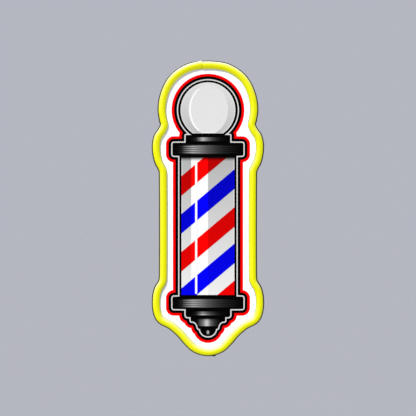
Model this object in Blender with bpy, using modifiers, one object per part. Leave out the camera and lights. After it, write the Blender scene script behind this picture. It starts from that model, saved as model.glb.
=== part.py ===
"""Barber pole light: a wall-hung sign with a neon-style tube round a back-lit picture of a barber pole.

Units are metres, +Z is up and the sign faces -Y. The wall is the plane y = 0. The origin is the middle of the
rear cover's back face. Places are given as (x, height, depth), where depth is how far a point stands in
front of the wall.
"""

import math

import bmesh
import bpy
from mathutils import Vector
from mathutils.geometry import interpolate_bezier

MM = 0.001
GAP = 0.3 * MM

# The tube's centre line, right half, from just beside the top joint down to the middle of the bottom.
HALF_ROUTE = (
    (7.0, 171.8), (22.7, 169.0), (37.4, 160.5), (46.5, 150.0), (53.0, 134.5), (55.2, 119.0), (53.7, 107.0),
    (52.3, 100.3), (54.9, 93.6), (60.2, 85.3), (62.1, 73.0), (59.6, 57.2), (54.4, 46.5), (53.6, 38.0),
    (53.6, -80.0), (54.6, -88.5), (59.6, -97.2), (62.0, -109.0), (61.1, -123.7), (56.6, -133.4),
    (44.0, -140.6), (32.7, -150.4), (24.2, -160.3), (14.6, -168.6), (0.0, -172.4),
)
TURN_PER_STEP = math.radians(13)
ROUND_STEPS = 12

# Neon-style tube: its section is a bar with a domed front.
TUBE_WIDTH = 8.0 * MM
TUBE_BACK = 12.9 * MM
DOME_CENTRE = 23.0 * MM
DOME_STEPS = 6
STRIP_SLOT = (5.6 * MM, 13.9 * MM)
BEAD_SLOT = (3.6 * MM, 15.3 * MM)
STRIP_WIDTH = 4.8 * MM
STRIP_DEPTH = (13.2 * MM, 13.6 * MM)
BEAD_WIDTH = 2.8 * MM
BEAD_DEPTH = (13.9 * MM, 15.0 * MM)
JOINT_X = -7.0 * MM
STRIP_END_GAP = 3.0 * MM

# Housing: a channel for the tube, with a skirt behind it that holds the rear cover.
RIM_OUT = 5.5 * MM
WALL = 1.2 * MM
CHANNEL_HALF = TUBE_WIDTH / 2 + GAP
RIM_BACK = 0.3 * MM
RIM_FRONT = 20.5 * MM
FLOOR_BACK = 11.0 * MM
FLOOR_FRONT = 12.6 * MM
INNER_WALL = 1.4 * MM
INNER_WALL_FRONT = 17.2 * MM
BOSS_RADIUS = 3.2 * MM

# Rear cover and what fastens it.
COVER_DEPTH = (0.0, 3.0 * MM)
COVER_EDGE = 3.9 * MM
SCREW_SHANK = 1.35 * MM
SCREW_HEAD = 2.8 * MM
HEAD_HEIGHT = 1.5 * MM
SCREW_TIP = 9.4 * MM
PILOT = SCREW_SHANK + GAP
COVER_SCREWS = ((40.5, 157.0), (53.6, 14.0), (44.0, -140.6))

# Keyhole plates, inside the cover behind openings in it.
KEYHOLE_X = 32.0 * MM
KEYHOLE_HEIGHT = 70.0 * MM
KEYHOLE_HEAD = 4.5 * MM
KEYHOLE_SLOT = 2.3 * MM
KEYHOLE_RISE = 9.0 * MM
KEYHOLE_PLATE = (22.0 * MM, 40.0 * MM)
KEYHOLE_DEPTH = (3.3 * MM, 4.5 * MM)
COVER_OPENING = 5.4 * MM
PLATE_SCREW_REACH = 15.5 * MM

# Face panel, reflector and the strip that lights the face.
PANEL_DEPTH = (17.5 * MM, 20.5 * MM)
PANEL_EDGE = -CHANNEL_HALF
REFLECTOR_DEPTH = (9.9 * MM, 10.7 * MM)
REFLECTOR_EDGE = -4.4 * MM
FACE_STRIP = (8.0 * MM, -118.0 * MM, 140.0 * MM)
FACE_STRIP_DEPTH = (11.0 * MM, 11.4 * MM)
FACE_BEAD = (4.0 * MM, -112.0 * MM, 136.0 * MM)
FACE_BEAD_DEPTH = (11.7 * MM, 12.6 * MM)
FACE_LEAD_HEIGHT = -124.0 * MM

# Control board, in the bottom of the sign.
BOARD_DEPTH = (4.2 * MM, 5.4 * MM)
BOARD_TOP = -136.0 * MM
BOARD_BOTTOM = -172.0 * MM
BOARD_HALF = 17.0 * MM
BOARD_CORNER = 5.0 * MM
PART_BACK = BOARD_DEPTH[1] + GAP
BOARD_SCREW = (13.5 * MM, -140.5 * MM)
BOARD_BOSS = 2.6 * MM
SMALL_SHANK = 1.0 * MM
SMALL_HEAD = 1.9 * MM
SMALL_PILOT = SMALL_SHANK + GAP

# USB-C inlet.
USB_X = -7.0 * MM
USB_SIZE = (8.94 * MM, 3.26 * MM)
USB_WALL = 0.35 * MM
USB_MOUTH = -175.0 * MM
USB_LENGTH = 7.3 * MM
USB_DEPTH = PART_BACK + USB_SIZE[1] / 2
USB_TONGUE = (6.7 * MM, 0.7 * MM, 5.0 * MM)

# Power button and the switch behind it. Both moving pieces slide along +Z.
BUTTON_X = 7.0 * MM
BUTTON_DEPTH = 7.7 * MM
BUTTON_RADIUS = 2.4 * MM
BUTTON_FACE = -179.2 * MM
BUTTON_FLANGE = 3.3 * MM
FLANGE_HEIGHTS = (-175.0 * MM, -174.2 * MM)
PLUNGER_RADIUS = 1.0 * MM
PLUNGER_HEIGHTS = (-173.9 * MM, -167.0 * MM)
SWITCH_SIZE = (6.0 * MM, 7.0 * MM, 4.0 * MM)
SWITCH_BOTTOM = -171.5 * MM
SOCKET_TOP = -165.4 * MM

# Wires.
WIRE_RADIUS = 0.55 * MM
WIRE_HOLE = 1.0 * MM
WIRE_BEND = 3.0 * MM
WIRE_DEPTH = 7.4 * MM
CONNECTOR = (13.0 * MM, 6.0 * MM, 3.4 * MM)
CONNECTOR_TOP = -139.0 * MM
CONNECTOR_PITCH = 2.8 * MM
WIRE_INSERT = 2.5 * MM

# Picture: every film is as thick as FILM, and each level lies in front of the one before.
FILM = 0.3 * MM
LEVELS = tuple(PANEL_DEPTH[1] + GAP + level * (FILM + GAP) for level in range(4))
LINE_EDGES = (2.4 * MM, 5.2 * MM, 8.3 * MM)
GLOBE = (117.9 * MM, 35.4 * MM)
GLOBE_FILM = 33.4 * MM
GLOBE_CUT = 89.1 * MM
LENS = (23.8 * MM, 28.8 * MM)
# Each bar of the silhouette: half its width, its bottom, its top, its corner radius. A narrow bar runs a
# little way into its wider neighbour.
BARS = (
    (26.4 * MM, 75.0 * MM, 87.7 * MM, 0.6 * MM),
    (42.2 * MM, 63.5 * MM, 78.3 * MM, 1.4 * MM),
    (33.85 * MM, -110.0 * MM, 66.0 * MM, 0.4 * MM),
    (42.2 * MM, -120.8 * MM, -106.6 * MM, 1.4 * MM),
    (26.4 * MM, -130.5 * MM, -117.0 * MM, 2.2 * MM),
    (20.4 * MM, -135.8 * MM, -127.0 * MM, 1.0 * MM),
    (14.4 * MM, -138.5 * MM, -132.0 * MM, 0.6 * MM),
    (11.6 * MM, -144.2 * MM, -134.0 * MM, 0.6 * MM),
)
BALL = (-144.2 * MM, 9.3 * MM)
SHAFT_FILM = (32.1 * MM, -104.2 * MM, 61.3 * MM)
STRIPE_SLOPE = 0.843
STRIPE_HEIGHT = 23.5 * MM
STRIPE_TOPS = {
    "red_stripe_upper": 65.4 * MM,
    "blue_stripe_upper": 20.0 * MM,
    "red_stripe_middle": -25.6 * MM,
    "blue_stripe_lower": -69.3 * MM,
    "red_stripe_lower": -113.7 * MM,
}
SHEENS = {
    "top_collar_sheen_film": (22.0 * MM, 80.1 * MM, 85.1 * MM),
    "cap_sheen_film": (39.0 * MM, 64.8 * MM, 75.9 * MM),
    "band_sheen_film": (39.0 * MM, -119.9 * MM, -108.5 * MM),
    "bottom_collar_sheen_film": (18.0 * MM, -129.0 * MM, -123.6 * MM),
    "ogee_sheen_film": (9.0 * MM, -142.3 * MM, -132.9 * MM),
}
BALL_SHEEN = (-149.0 * MM, 1.6 * MM, 2.6 * MM)

FINISHES = {
    "black_plastic": ((0.014, 0.014, 0.015), 0.45, 0.0, 0.0),
    "grey_plastic": ((0.05, 0.05, 0.055), 0.5, 0.0, 0.0),
    "opal_acrylic": ((0.95, 0.95, 0.95), 0.3, 0.0, 0.6),
    "yellow_silicone": ((1.0, 0.93, 0.02), 0.45, 0.0, 0.8),
    "phosphor": ((1.0, 0.8, 0.2), 0.6, 0.0, 1.0),
    "strip_white": ((0.85, 0.85, 0.83), 0.5, 0.0, 0.0),
    "reflector_white": ((0.9, 0.9, 0.9), 0.35, 0.0, 0.0),
    "board_green": ((0.01, 0.09, 0.04), 0.4, 0.0, 0.0),
    "steel": ((0.55, 0.56, 0.57), 0.3, 1.0, 0.0),
    "screw_black": ((0.03, 0.03, 0.032), 0.35, 0.8, 0.0),
    "chip_black": ((0.02, 0.02, 0.02), 0.55, 0.0, 0.0),
    "can_silver": ((0.7, 0.7, 0.72), 0.25, 1.0, 0.0),
    "connector_white": ((0.8, 0.8, 0.76), 0.5, 0.0, 0.0),
    "wire_red": ((0.6, 0.02, 0.02), 0.4, 0.0, 0.0),
    "wire_black": ((0.015, 0.015, 0.015), 0.4, 0.0, 0.0),
    "film_red": ((0.85, 0.0, 0.0), 0.35, 0.0, 0.4),
    "film_blue": ((0.0, 0.0, 0.8), 0.35, 0.0, 0.4),
    "film_black": ((0.0, 0.0, 0.0), 0.35, 0.0, 0.0),
    "film_silver": ((0.5, 0.5, 0.5), 0.3, 0.0, 0.3),
    "film_white": ((0.9, 0.9, 0.9), 0.35, 0.0, 0.5),
    "film_grey": ((0.7, 0.7, 0.7), 0.35, 0.0, 0.4),
}


def start_scene():
    for obj in list(bpy.data.objects):
        bpy.data.objects.remove(obj, do_unlink=True)
    for name in ("barber_pole_light", "cutters"):
        bpy.context.scene.collection.children.link(bpy.data.collections.new(name))
    bpy.data.collections["cutters"].hide_render = True


def make_finishes():
    for name, (colour, roughness, metallic, glow) in FINISHES.items():
        finish = bpy.data.materials.new(name)
        finish.use_nodes = True
        sockets = finish.node_tree.nodes["Principled BSDF"].inputs
        sockets["Base Color"].default_value = (*colour, 1.0)
        sockets["Roughness"].default_value = roughness
        sockets["Metallic"].default_value = metallic
        sockets["Emission Color"].default_value = (*colour, 1.0)
        sockets["Emission Strength"].default_value = glow


# Placing: a piece that faces out has its local Z pointing away from the wall, and one that faces up has it
# pointing up.

def add(name, mesh, finish, at=(0.0, 0.0, 0.0), facing="out"):
    """Puts a mesh in the scene at (x, height, depth). With no finish it is a cutter."""
    obj = bpy.data.objects.new(name, mesh)
    x, height, depth = at
    obj.location = (x, -depth, height)
    if facing == "out":
        obj.rotation_euler = (math.radians(90), 0.0, 0.0)
    if finish:
        mesh.materials.append(bpy.data.materials[finish])
        bpy.data.collections["barber_pole_light"].objects.link(obj)
    else:
        obj.hide_render = True
        obj.display_type = "WIRE"
        bpy.data.collections["cutters"].objects.link(obj)
    return obj


def cut(obj, cutter, operation="DIFFERENCE"):
    boolean = obj.modifiers.new(cutter.name, "BOOLEAN")
    boolean.operation = operation
    boolean.object = cutter


def round_edges(obj, width, segments=2):
    bevel = obj.modifiers.new("rounded_edges", "BEVEL")
    bevel.width = width
    bevel.segments = segments
    bevel.limit_method = "ANGLE"


def smooth(mesh):
    mesh.shade_smooth()
    mesh.set_sharp_from_angle(angle=math.radians(35))


# Shapes

def add_spline(curve, points, closed):
    spline = curve.splines.new("POLY")
    spline.points.add(len(points) - 1)
    for point, place in zip(spline.points, points):
        point.co = (*Vector(place).to_3d(), 1.0)
    spline.use_cyclic_u = closed


def mesh_from_curve(curve):
    """The curve's solid as a plain mesh, with its caps welded on."""
    obj = bpy.data.objects.new(curve.name, curve)
    bpy.context.scene.collection.objects.link(obj)
    graph = bpy.context.evaluated_depsgraph_get()
    mesh = bpy.data.meshes.new_from_object(obj.evaluated_get(graph))
    bpy.data.objects.remove(obj)
    mesh.materials.clear()
    work = bmesh.new()
    work.from_mesh(mesh)
    bmesh.ops.remove_doubles(work, verts=work.verts, dist=0.001 * MM)
    bmesh.ops.recalc_face_normals(work, faces=work.faces)
    work.to_mesh(mesh)
    work.free()
    return mesh


def plate_mesh(name, outlines, thickness):
    """A flat piece, half its thickness each side of its origin: one edge outline, then any holes."""
    curve = bpy.data.curves.new(name, "CURVE")
    curve.dimensions = "2D"
    curve.fill_mode = "BOTH"
    curve.extrude = thickness / 2
    for outline in outlines:
        add_spline(curve, outline, closed=True)
    return mesh_from_curve(curve)


def add_plate(name, outlines, depths, finish):
    back, front = depths
    mesh = plate_mesh(name, outlines, front - back)
    return add(name, mesh, finish, (0.0, 0.0, (back + front) / 2))


def add_sweep(name, route, section, finish):
    """A section of (outward, depth) points carried round the whole route."""
    profile = bpy.data.curves.new(name + "_section", "CURVE")
    profile.dimensions = "2D"
    add_spline(profile, section, closed=True)
    guide = bpy.data.objects.new(name + "_section", profile)
    guide.hide_render = True
    bpy.data.collections["cutters"].objects.link(guide)
    curve = bpy.data.curves.new(name, "CURVE")
    curve.dimensions = "3D"
    curve.twist_mode = "Z_UP"
    curve.bevel_mode = "OBJECT"
    curve.bevel_object = guide
    add_spline(curve, route, closed=True)
    bpy.context.view_layer.update()
    mesh = mesh_from_curve(curve)
    bpy.data.objects.remove(guide)
    smooth(mesh)
    return add(name, mesh, finish)


def add_block(name, low, high, finish):
    """A box between two corners, each (x, height, depth)."""
    low, high = Vector(low), Vector(high)
    work = bmesh.new()
    bmesh.ops.create_cube(work, size=1.0)
    bmesh.ops.scale(work, vec=high - low, verts=work.verts)
    mesh = bpy.data.meshes.new(name)
    work.to_mesh(mesh)
    work.free()
    return add(name, mesh, finish, (low + high) / 2)


def add_rods(name, places, radius, depths, finish=None):
    """One mesh of equal round rods that stand out from the wall at each (x, height)."""
    back, front = depths
    work = bmesh.new()
    for x, height in places:
        made = bmesh.ops.create_cone(
            work, cap_ends=True, segments=ROUND_STEPS, radius1=radius, radius2=radius, depth=front - back
        )
        bmesh.ops.translate(work, vec=(x, height, (back + front) / 2), verts=made["verts"])
    mesh = bpy.data.meshes.new(name)
    work.to_mesh(mesh)
    work.free()
    return add(name, mesh, finish)


def turned_mesh(name, profile, steps=ROUND_STEPS):
    """A profile of (radius, height) points, from the top down its outer side, turned about Z."""
    mesh = bpy.data.meshes.new(name)
    points = [(radius, 0.0, height) for radius, height in profile]
    mesh.from_pydata(points, [(i, i + 1) for i in range(len(points) - 1)], [])
    obj = bpy.data.objects.new(name, mesh)
    bpy.context.scene.collection.objects.link(obj)
    screw = obj.modifiers.new("turn", "SCREW")
    screw.axis = "Z"
    screw.steps = steps
    screw.render_steps = steps
    screw.use_merge_vertices = True
    screw.merge_threshold = 0.001 * MM
    graph = bpy.context.evaluated_depsgraph_get()
    turned = bpy.data.meshes.new_from_object(obj.evaluated_get(graph))
    bpy.data.objects.remove(obj)
    smooth(turned)
    return turned


def add_wire(name, stops, finish):
    """A lead through the given (x, height, depth) stops, with each corner rounded."""
    stops = [Vector(stop) for stop in stops]
    points = [stops[0]]
    for before, corner, after in zip(stops, stops[1:], stops[2:]):
        entry = corner + (before - corner).normalized() * WIRE_BEND
        leave = corner + (after - corner).normalized() * WIRE_BEND
        points += interpolate_bezier(entry, corner, corner, leave, 5)
    points.append(stops[-1])
    curve = bpy.data.curves.new(name, "CURVE")
    curve.dimensions = "3D"
    curve.bevel_depth = WIRE_RADIUS
    curve.bevel_resolution = 2
    curve.use_fill_caps = True
    add_spline(curve, points, closed=False)
    mesh = mesh_from_curve(curve)
    smooth(mesh)
    return add(name, mesh, finish)


# Outlines

def smooth_loop(points):
    """A closed smooth line through the points, with more steps where it bends more."""
    points = [Vector(point) for point in points]
    loop = []
    for i in range(len(points)):
        before, start, end, after = (points[(i + offset) % len(points)] for offset in (-1, 0, 1, 2))
        leave = (end - before).normalized()
        arrive = (after - start).normalized()
        reach = (end - start).length / 3
        steps = max(1, math.ceil(leave.angle(arrive) / TURN_PER_STEP))
        pieces = interpolate_bezier(start, start + leave * reach, end - arrive * reach, end, steps + 1)
        loop += pieces[:-1]
    return loop


def tube_route():
    """The tube's centre line, anticlockwise as seen from in front, from the joint at the top."""
    right = [(x * MM, height * MM) for x, height in HALF_ROUTE]
    left = [(-x, height) for x, height in right[:-1]]
    return smooth_loop(left + [right[-1]] + right[-2::-1])


def moved_out(loop, distance):
    """The loop moved outwards by a distance. It runs anticlockwise."""
    moved = []
    for i, point in enumerate(loop):
        along = (loop[(i + 1) % len(loop)] - loop[i - 1]).normalized()
        moved.append(point + Vector((along.y, -along.x)) * distance)
    return moved


def arc(centre, radius, first, last, steps):
    """Points of an arc between two angles in degrees. The radius may be one number or one for each axis."""
    across, up = radius if isinstance(radius, tuple) else (radius, radius)
    angles = [math.radians(first + (last - first) * i / steps) for i in range(steps + 1)]
    return [(centre[0] + across * math.cos(a), centre[1] + up * math.sin(a)) for a in angles]


def box_outline(low, high):
    return [(low[0], low[1]), (high[0], low[1]), (high[0], high[1]), (low[0], high[1])]


def capsule(centre, width, height, steps=6):
    """A slot outline with round ends, wider than it is high."""
    x, y = centre
    radius = height / 2
    reach = width / 2 - radius
    return arc((x + reach, y), radius, -90, 90, steps) + arc((x - reach, y), radius, 90, 270, steps)


def keyhole(x, head_height, head, slot, rise, steps=10):
    """A round hole with a narrower slot with a round end above it."""
    lift = math.degrees(math.acos(slot / head))
    lower = arc((x, head_height), head, 180 - lift, 360 + lift, steps)
    return lower + arc((x, head_height + rise), slot, 0, 180, steps // 2)


def half_width(height, grow):
    """Half the width at one height of the pole's silhouette grown all round."""
    widest = 0.0
    for centre, radius in (GLOBE, BALL):
        reach = radius + grow
        if abs(height - centre) < reach:
            widest = max(widest, math.sqrt(reach**2 - (height - centre) ** 2))
    for half, bottom, top, corner in BARS:
        past = max(bottom + corner - height, height - top + corner, 0.0)
        reach = corner + grow
        if past < reach:
            widest = max(widest, half - corner + math.sqrt(reach**2 - past**2))
    return widest


def thinned(points, tolerance):
    """The points that a line needs to stay within the tolerance of all of them."""
    first, last = Vector(points[0]), Vector(points[-1])
    chord = (last - first).normalized()
    offsets = [abs((Vector(p) - first).cross(chord)) for p in points]
    far = max(range(len(points)), key=offsets.__getitem__)
    if offsets[far] <= tolerance:
        return [points[0], points[-1]]
    return thinned(points[: far + 1], tolerance)[:-1] + thinned(points[far:], tolerance)


def silhouette(grow, step=0.1 * MM, tolerance=0.2 * MM):
    """The outline of the pole's silhouette, grown all round."""
    top = GLOBE[0] + GLOBE[1] + grow
    bottom = BALL[0] - BALL[1] - grow
    count = round((top - bottom) / step)
    heights = [top + (bottom - top) * i / count for i in range(1, count)]
    side = [(0.0, top)] + [(half_width(height, grow), height) for height in heights] + [(0.0, bottom)]
    right = thinned(side, tolerance)
    return right + [(-x, height) for x, height in right[-2:0:-1]]


def clipped_stripe(top_at_middle):
    """A slanting band cut to the shaft's film."""
    half, bottom, top = SHAFT_FILM
    work = bmesh.new()
    corners = [
        work.verts.new((side * half, top_at_middle + side * half * STRIPE_SLOPE - drop, 0.0))
        for side, drop in ((-1, STRIPE_HEIGHT), (1, STRIPE_HEIGHT), (1, 0.0), (-1, 0.0))
    ]
    work.faces.new(corners)
    for edge, side in ((top, 1), (bottom, -1)):
        bmesh.ops.bisect_plane(
            work,
            geom=work.verts[:] + work.edges[:] + work.faces[:],
            plane_co=(0.0, edge, 0.0),
            plane_no=(0.0, side, 0.0),
            clear_outer=True,
        )
    work.faces.ensure_lookup_table()
    outline = [(loop.vert.co.x, loop.vert.co.y) for loop in work.faces[0].loops]
    work.free()
    return outline


# Sub-assemblies

def cover_screw_places():
    return [(side * x * MM, height * MM) for x, height in COVER_SCREWS for side in (-1, 1)]


def make_tube(route):
    half = TUBE_WIDTH / 2
    strip_half, strip_top = STRIP_SLOT[0] / 2, STRIP_SLOT[1]
    bead_half, bead_top = BEAD_SLOT[0] / 2, BEAD_SLOT[1]
    slot = [
        (half, TUBE_BACK), (strip_half, TUBE_BACK), (strip_half, strip_top), (bead_half, strip_top),
        (bead_half, bead_top),
    ]
    dome = arc((0.0, DOME_CENTRE), half, 180, 0, DOME_STEPS)
    section = dome + slot + [(-x, depth) for x, depth in reversed(slot)]
    add_sweep("neon_diffuser", route, section, "yellow_silicone")
    for name, width, depths, finish in (
        ("neon_strip", STRIP_WIDTH, STRIP_DEPTH, "strip_white"),
        ("neon_phosphor", BEAD_WIDTH, BEAD_DEPTH, "phosphor"),
    ):
        section = box_outline((-width / 2, depths[0]), (width / 2, depths[1]))
        add_sweep(name, route, section, finish)
    for name, gap in (("neon_diffuser", GAP), ("neon_strip", STRIP_END_GAP), ("neon_phosphor", STRIP_END_GAP)):
        cutter = add_block(
            name + "_joint_cut",
            (JOINT_X - gap / 2, 160.0 * MM, 0.0),
            (JOINT_X + gap / 2, 190.0 * MM, 40.0 * MM),
            None,
        )
        cut(bpy.data.objects[name], cutter)


def lead_places():
    """Where the tube's two leads go down through the channel floor, each side of the joint."""
    return [(JOINT_X - 5.0 * MM, 171.0 * MM), (JOINT_X + 5.0 * MM, 171.8 * MM)]


def make_housing(route):
    inner = RIM_OUT - WALL
    outer_face = -CHANNEL_HALF - INNER_WALL
    section = [
        (RIM_OUT, RIM_BACK), (RIM_OUT, RIM_FRONT), (inner, RIM_FRONT), (inner, FLOOR_FRONT),
        (-CHANNEL_HALF, FLOOR_FRONT), (-CHANNEL_HALF, INNER_WALL_FRONT), (outer_face, INNER_WALL_FRONT),
        (outer_face, FLOOR_BACK), (inner, FLOOR_BACK), (inner, RIM_BACK),
    ]
    housing = add_sweep("housing", route, section, "black_plastic")
    places = cover_screw_places()
    boss_depths = (COVER_DEPTH[1] + GAP, (FLOOR_BACK + FLOOR_FRONT) / 2)
    cut(housing, add_rods("housing_bosses", places, BOSS_RADIUS, boss_depths), "UNION")
    cut(housing, add_rods("housing_pilots", places, PILOT, (COVER_DEPTH[0], SCREW_TIP + 0.6 * MM)))
    cut(housing, add_rods("lead_holes", lead_places(), WIRE_HOLE, (FLOOR_BACK - MM, FLOOR_FRONT + MM)))
    port = plate_mesh("port_hole", [capsule((0.0, 0.0), USB_SIZE[0] + MM, USB_SIZE[1] + MM)], 12 * MM)
    cut(housing, add("port_hole", port, None, (USB_X, -178.0 * MM, USB_DEPTH), "up"))
    hole = BUTTON_RADIUS + GAP
    button_hole = turned_mesh("button_hole", [(0.0, 6 * MM), (hole, 6 * MM), (hole, -6 * MM), (0.0, -6 * MM)])
    cut(housing, add("button_hole", button_hole, None, (BUTTON_X, -178.0 * MM, BUTTON_DEPTH), "up"))


def countersunk_mesh(name, shank, head, head_height, length):
    """A flat-headed screw with its head's face at local zero and a cross recess in it."""
    taper = [(0.0, length), (shank * 0.6, length), (shank, length - shank), (shank, head_height)]
    return turned_mesh(name, taper + [(head, 0.1 * MM), (head, 0.0), (0.0, 0.0)])


def cut_cross(screw, place, width, span, depth):
    """Cuts a cross recess, as two crossed bars, into a screw's head at (x, height, depth)."""
    for number, size in enumerate(((width, span), (span, width)), 1):
        half = Vector((size[0] / 2, size[1] / 2, depth))
        name = f"{screw.name}_recess_{number}"
        cut(screw, add_block(name, Vector(place) - half, Vector(place) + half, None))


def make_cover(route):
    openings = [
        arc((side * KEYHOLE_X, KEYHOLE_HEIGHT), COVER_OPENING, -180, 0, 8)
        + arc((side * KEYHOLE_X, KEYHOLE_HEIGHT + KEYHOLE_RISE), COVER_OPENING, 0, 180, 8)
        for side in (-1, 1)
    ]
    cover = add_plate("rear_cover", [moved_out(route, COVER_EDGE)] + openings, COVER_DEPTH, "black_plastic")
    back, front = COVER_DEPTH
    board_places = [(side * BOARD_SCREW[0], BOARD_SCREW[1]) for side in (-1, 1)]
    boss_depths = (back + 1.5 * MM, BOARD_DEPTH[0] - GAP)
    cut(cover, add_rods("board_bosses", board_places, BOARD_BOSS, boss_depths), "UNION")
    pilots = board_places + keyhole_screw_places()
    cut(cover, add_rods("cover_pilots", pilots, SMALL_PILOT, (back + 0.8 * MM, front + 2 * MM)))
    wide = SCREW_HEAD + GAP
    sink = [
        (0.0, front + MM), (PILOT, front + MM), (PILOT, back + HEAD_HEIGHT + GAP), (wide, back + 0.1 * MM + GAP),
        (wide, back - MM), (0.0, back - MM),
    ]
    sink_mesh = turned_mesh("countersink", sink)
    for number, (x, height) in enumerate(cover_screw_places(), 1):
        cut(cover, add(f"countersink_{number}", sink_mesh, None, (x, height, 0.0)))
    screw_back = back + 0.1 * MM
    screw_mesh = countersunk_mesh("cover_screw", SCREW_SHANK, SCREW_HEAD, HEAD_HEIGHT, SCREW_TIP - screw_back)
    for number, (x, height) in enumerate(cover_screw_places(), 1):
        screw = add(f"cover_screw_{number}", screw_mesh.copy(), "screw_black", (x, height, screw_back))
        cut_cross(screw, (x, height, screw_back), 0.7 * MM, 3.0 * MM, 0.9 * MM)


def keyhole_screw_places():
    middle = KEYHOLE_HEIGHT + KEYHOLE_RISE / 2
    return [
        (side * KEYHOLE_X, middle + end * PLATE_SCREW_REACH) for side in (-1, 1) for end in (-1, 1)
    ]


def pan_screw(name, place, under_head, tip):
    """A small pan-headed screw, put in from in front."""
    x, height = place
    head = SMALL_HEAD
    profile = [
        (0.0, 1.3 * MM), (head * 0.6, 1.3 * MM), (head, 0.8 * MM), (head, 0.0), (SMALL_SHANK, 0.0),
        (SMALL_SHANK, tip - under_head + 0.5 * MM), (SMALL_SHANK * 0.5, tip - under_head),
        (0.0, tip - under_head),
    ]
    screw = add(name, turned_mesh(name, profile), "steel", (x, height, under_head))
    cut_cross(screw, (x, height, under_head + 1.3 * MM), 0.5 * MM, 2.0 * MM, 0.6 * MM)


def make_keyhole_plates():
    middle = KEYHOLE_HEIGHT + KEYHOLE_RISE / 2
    wide, tall = KEYHOLE_PLATE[0] / 2, KEYHOLE_PLATE[1] / 2
    places = keyhole_screw_places()
    for name, side in (("keyhole_plate_left", -1), ("keyhole_plate_right", 1)):
        x = side * KEYHOLE_X
        edge = box_outline((x - wide, middle - tall), (x + wide, middle + tall))
        hole = keyhole(x, KEYHOLE_HEIGHT, KEYHOLE_HEAD, KEYHOLE_SLOT, KEYHOLE_RISE)
        screw_holes = [arc(place, SMALL_PILOT, 0, 330, 11) for place in places if place[0] * side > 0]
        add_plate(name, [edge, hole] + screw_holes, KEYHOLE_DEPTH, "steel")
    for number, place in enumerate(places, 1):
        pan_screw(f"keyhole_screw_{number}", place, KEYHOLE_DEPTH[1] + GAP, 1.2 * MM)


def make_face(route):
    add_plate("face_panel", [moved_out(route, PANEL_EDGE - GAP / 2)], PANEL_DEPTH, "opal_acrylic")
    holes = [arc((x, FACE_LEAD_HEIGHT), WIRE_HOLE, 0, 324, 9) for x in face_lead_columns()]
    add_plate("reflector", [moved_out(route, REFLECTOR_EDGE)] + holes, REFLECTOR_DEPTH, "reflector_white")
    for name, (width, bottom, top), (back, front), finish in (
        ("face_light_strip", FACE_STRIP, FACE_STRIP_DEPTH, "strip_white"),
        ("face_light_phosphor", FACE_BEAD, FACE_BEAD_DEPTH, "phosphor"),
    ):
        add_block(name, (-width / 2, bottom, back), (width / 2, top, front), finish)


def face_lead_columns():
    return (CONNECTOR_PITCH / 2, -CONNECTOR_PITCH / 2)


def make_board():
    outline = [
        (-BOARD_HALF, BOARD_TOP), (-BOARD_HALF, BOARD_BOTTOM + BOARD_CORNER),
        (-BOARD_HALF + BOARD_CORNER, BOARD_BOTTOM), (BOARD_HALF - BOARD_CORNER, BOARD_BOTTOM),
        (BOARD_HALF, BOARD_BOTTOM + BOARD_CORNER), (BOARD_HALF, BOARD_TOP),
    ]
    places = [(side * BOARD_SCREW[0], BOARD_SCREW[1]) for side in (-1, 1)]
    holes = [arc(place, SMALL_PILOT, 0, 330, 11) for place in places]
    add_plate("control_board", [outline] + holes, BOARD_DEPTH, "board_green")
    for number, place in enumerate(places, 1):
        pan_screw(f"board_screw_{number}", place, PART_BACK, 1.4 * MM)
    chips = (
        ("driver_chip", (3.0, -158.0), (8.0, -153.0), 1.6, "chip_black"),
        ("inductor", (-12.5, -160.0), (-7.5, -155.0), 3.0, "chip_black"),
    )
    for name, low, high, thickness, finish in chips:
        chip = add_block(
            name,
            (low[0] * MM, low[1] * MM, PART_BACK),
            (high[0] * MM, high[1] * MM, PART_BACK + thickness * MM),
            finish,
        )
        round_edges(chip, 0.25 * MM, 1)
    can = [(0.0, 3.6), (2.2, 3.6), (2.5, 3.3), (2.5, 0.8), (2.3, 0.6), (2.5, 0.4), (2.5, 0.0), (0.0, 0.0)]
    can_mesh = turned_mesh("capacitor", [(radius * MM, height * MM) for radius, height in can])
    add("capacitor", can_mesh, "can_silver", (-2.5 * MM, -158.0 * MM, PART_BACK))


def make_inlet():
    width, thickness = USB_SIZE
    shell_mesh = plate_mesh("usb_shell", [capsule((0.0, 0.0), width, thickness)], USB_LENGTH)
    shell = add("usb_shell", shell_mesh, "steel", (USB_X, USB_MOUTH + USB_LENGTH / 2, USB_DEPTH), "up")
    inside = capsule((0.0, 0.0), width - 2 * USB_WALL, thickness - 2 * USB_WALL)
    pocket_mesh = plate_mesh("usb_pocket", [inside], USB_LENGTH)
    cut(shell, add("usb_pocket", pocket_mesh, None, (USB_X, USB_MOUTH + USB_LENGTH / 2 - MM, USB_DEPTH), "up"))
    wide, thick, length = USB_TONGUE
    top = USB_MOUTH + USB_LENGTH - MM - GAP
    low = (USB_X - wide / 2, top - length, USB_DEPTH - thick / 2)
    add_block("usb_tongue", low, (USB_X + wide / 2, top, USB_DEPTH + thick / 2), "chip_black")


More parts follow.
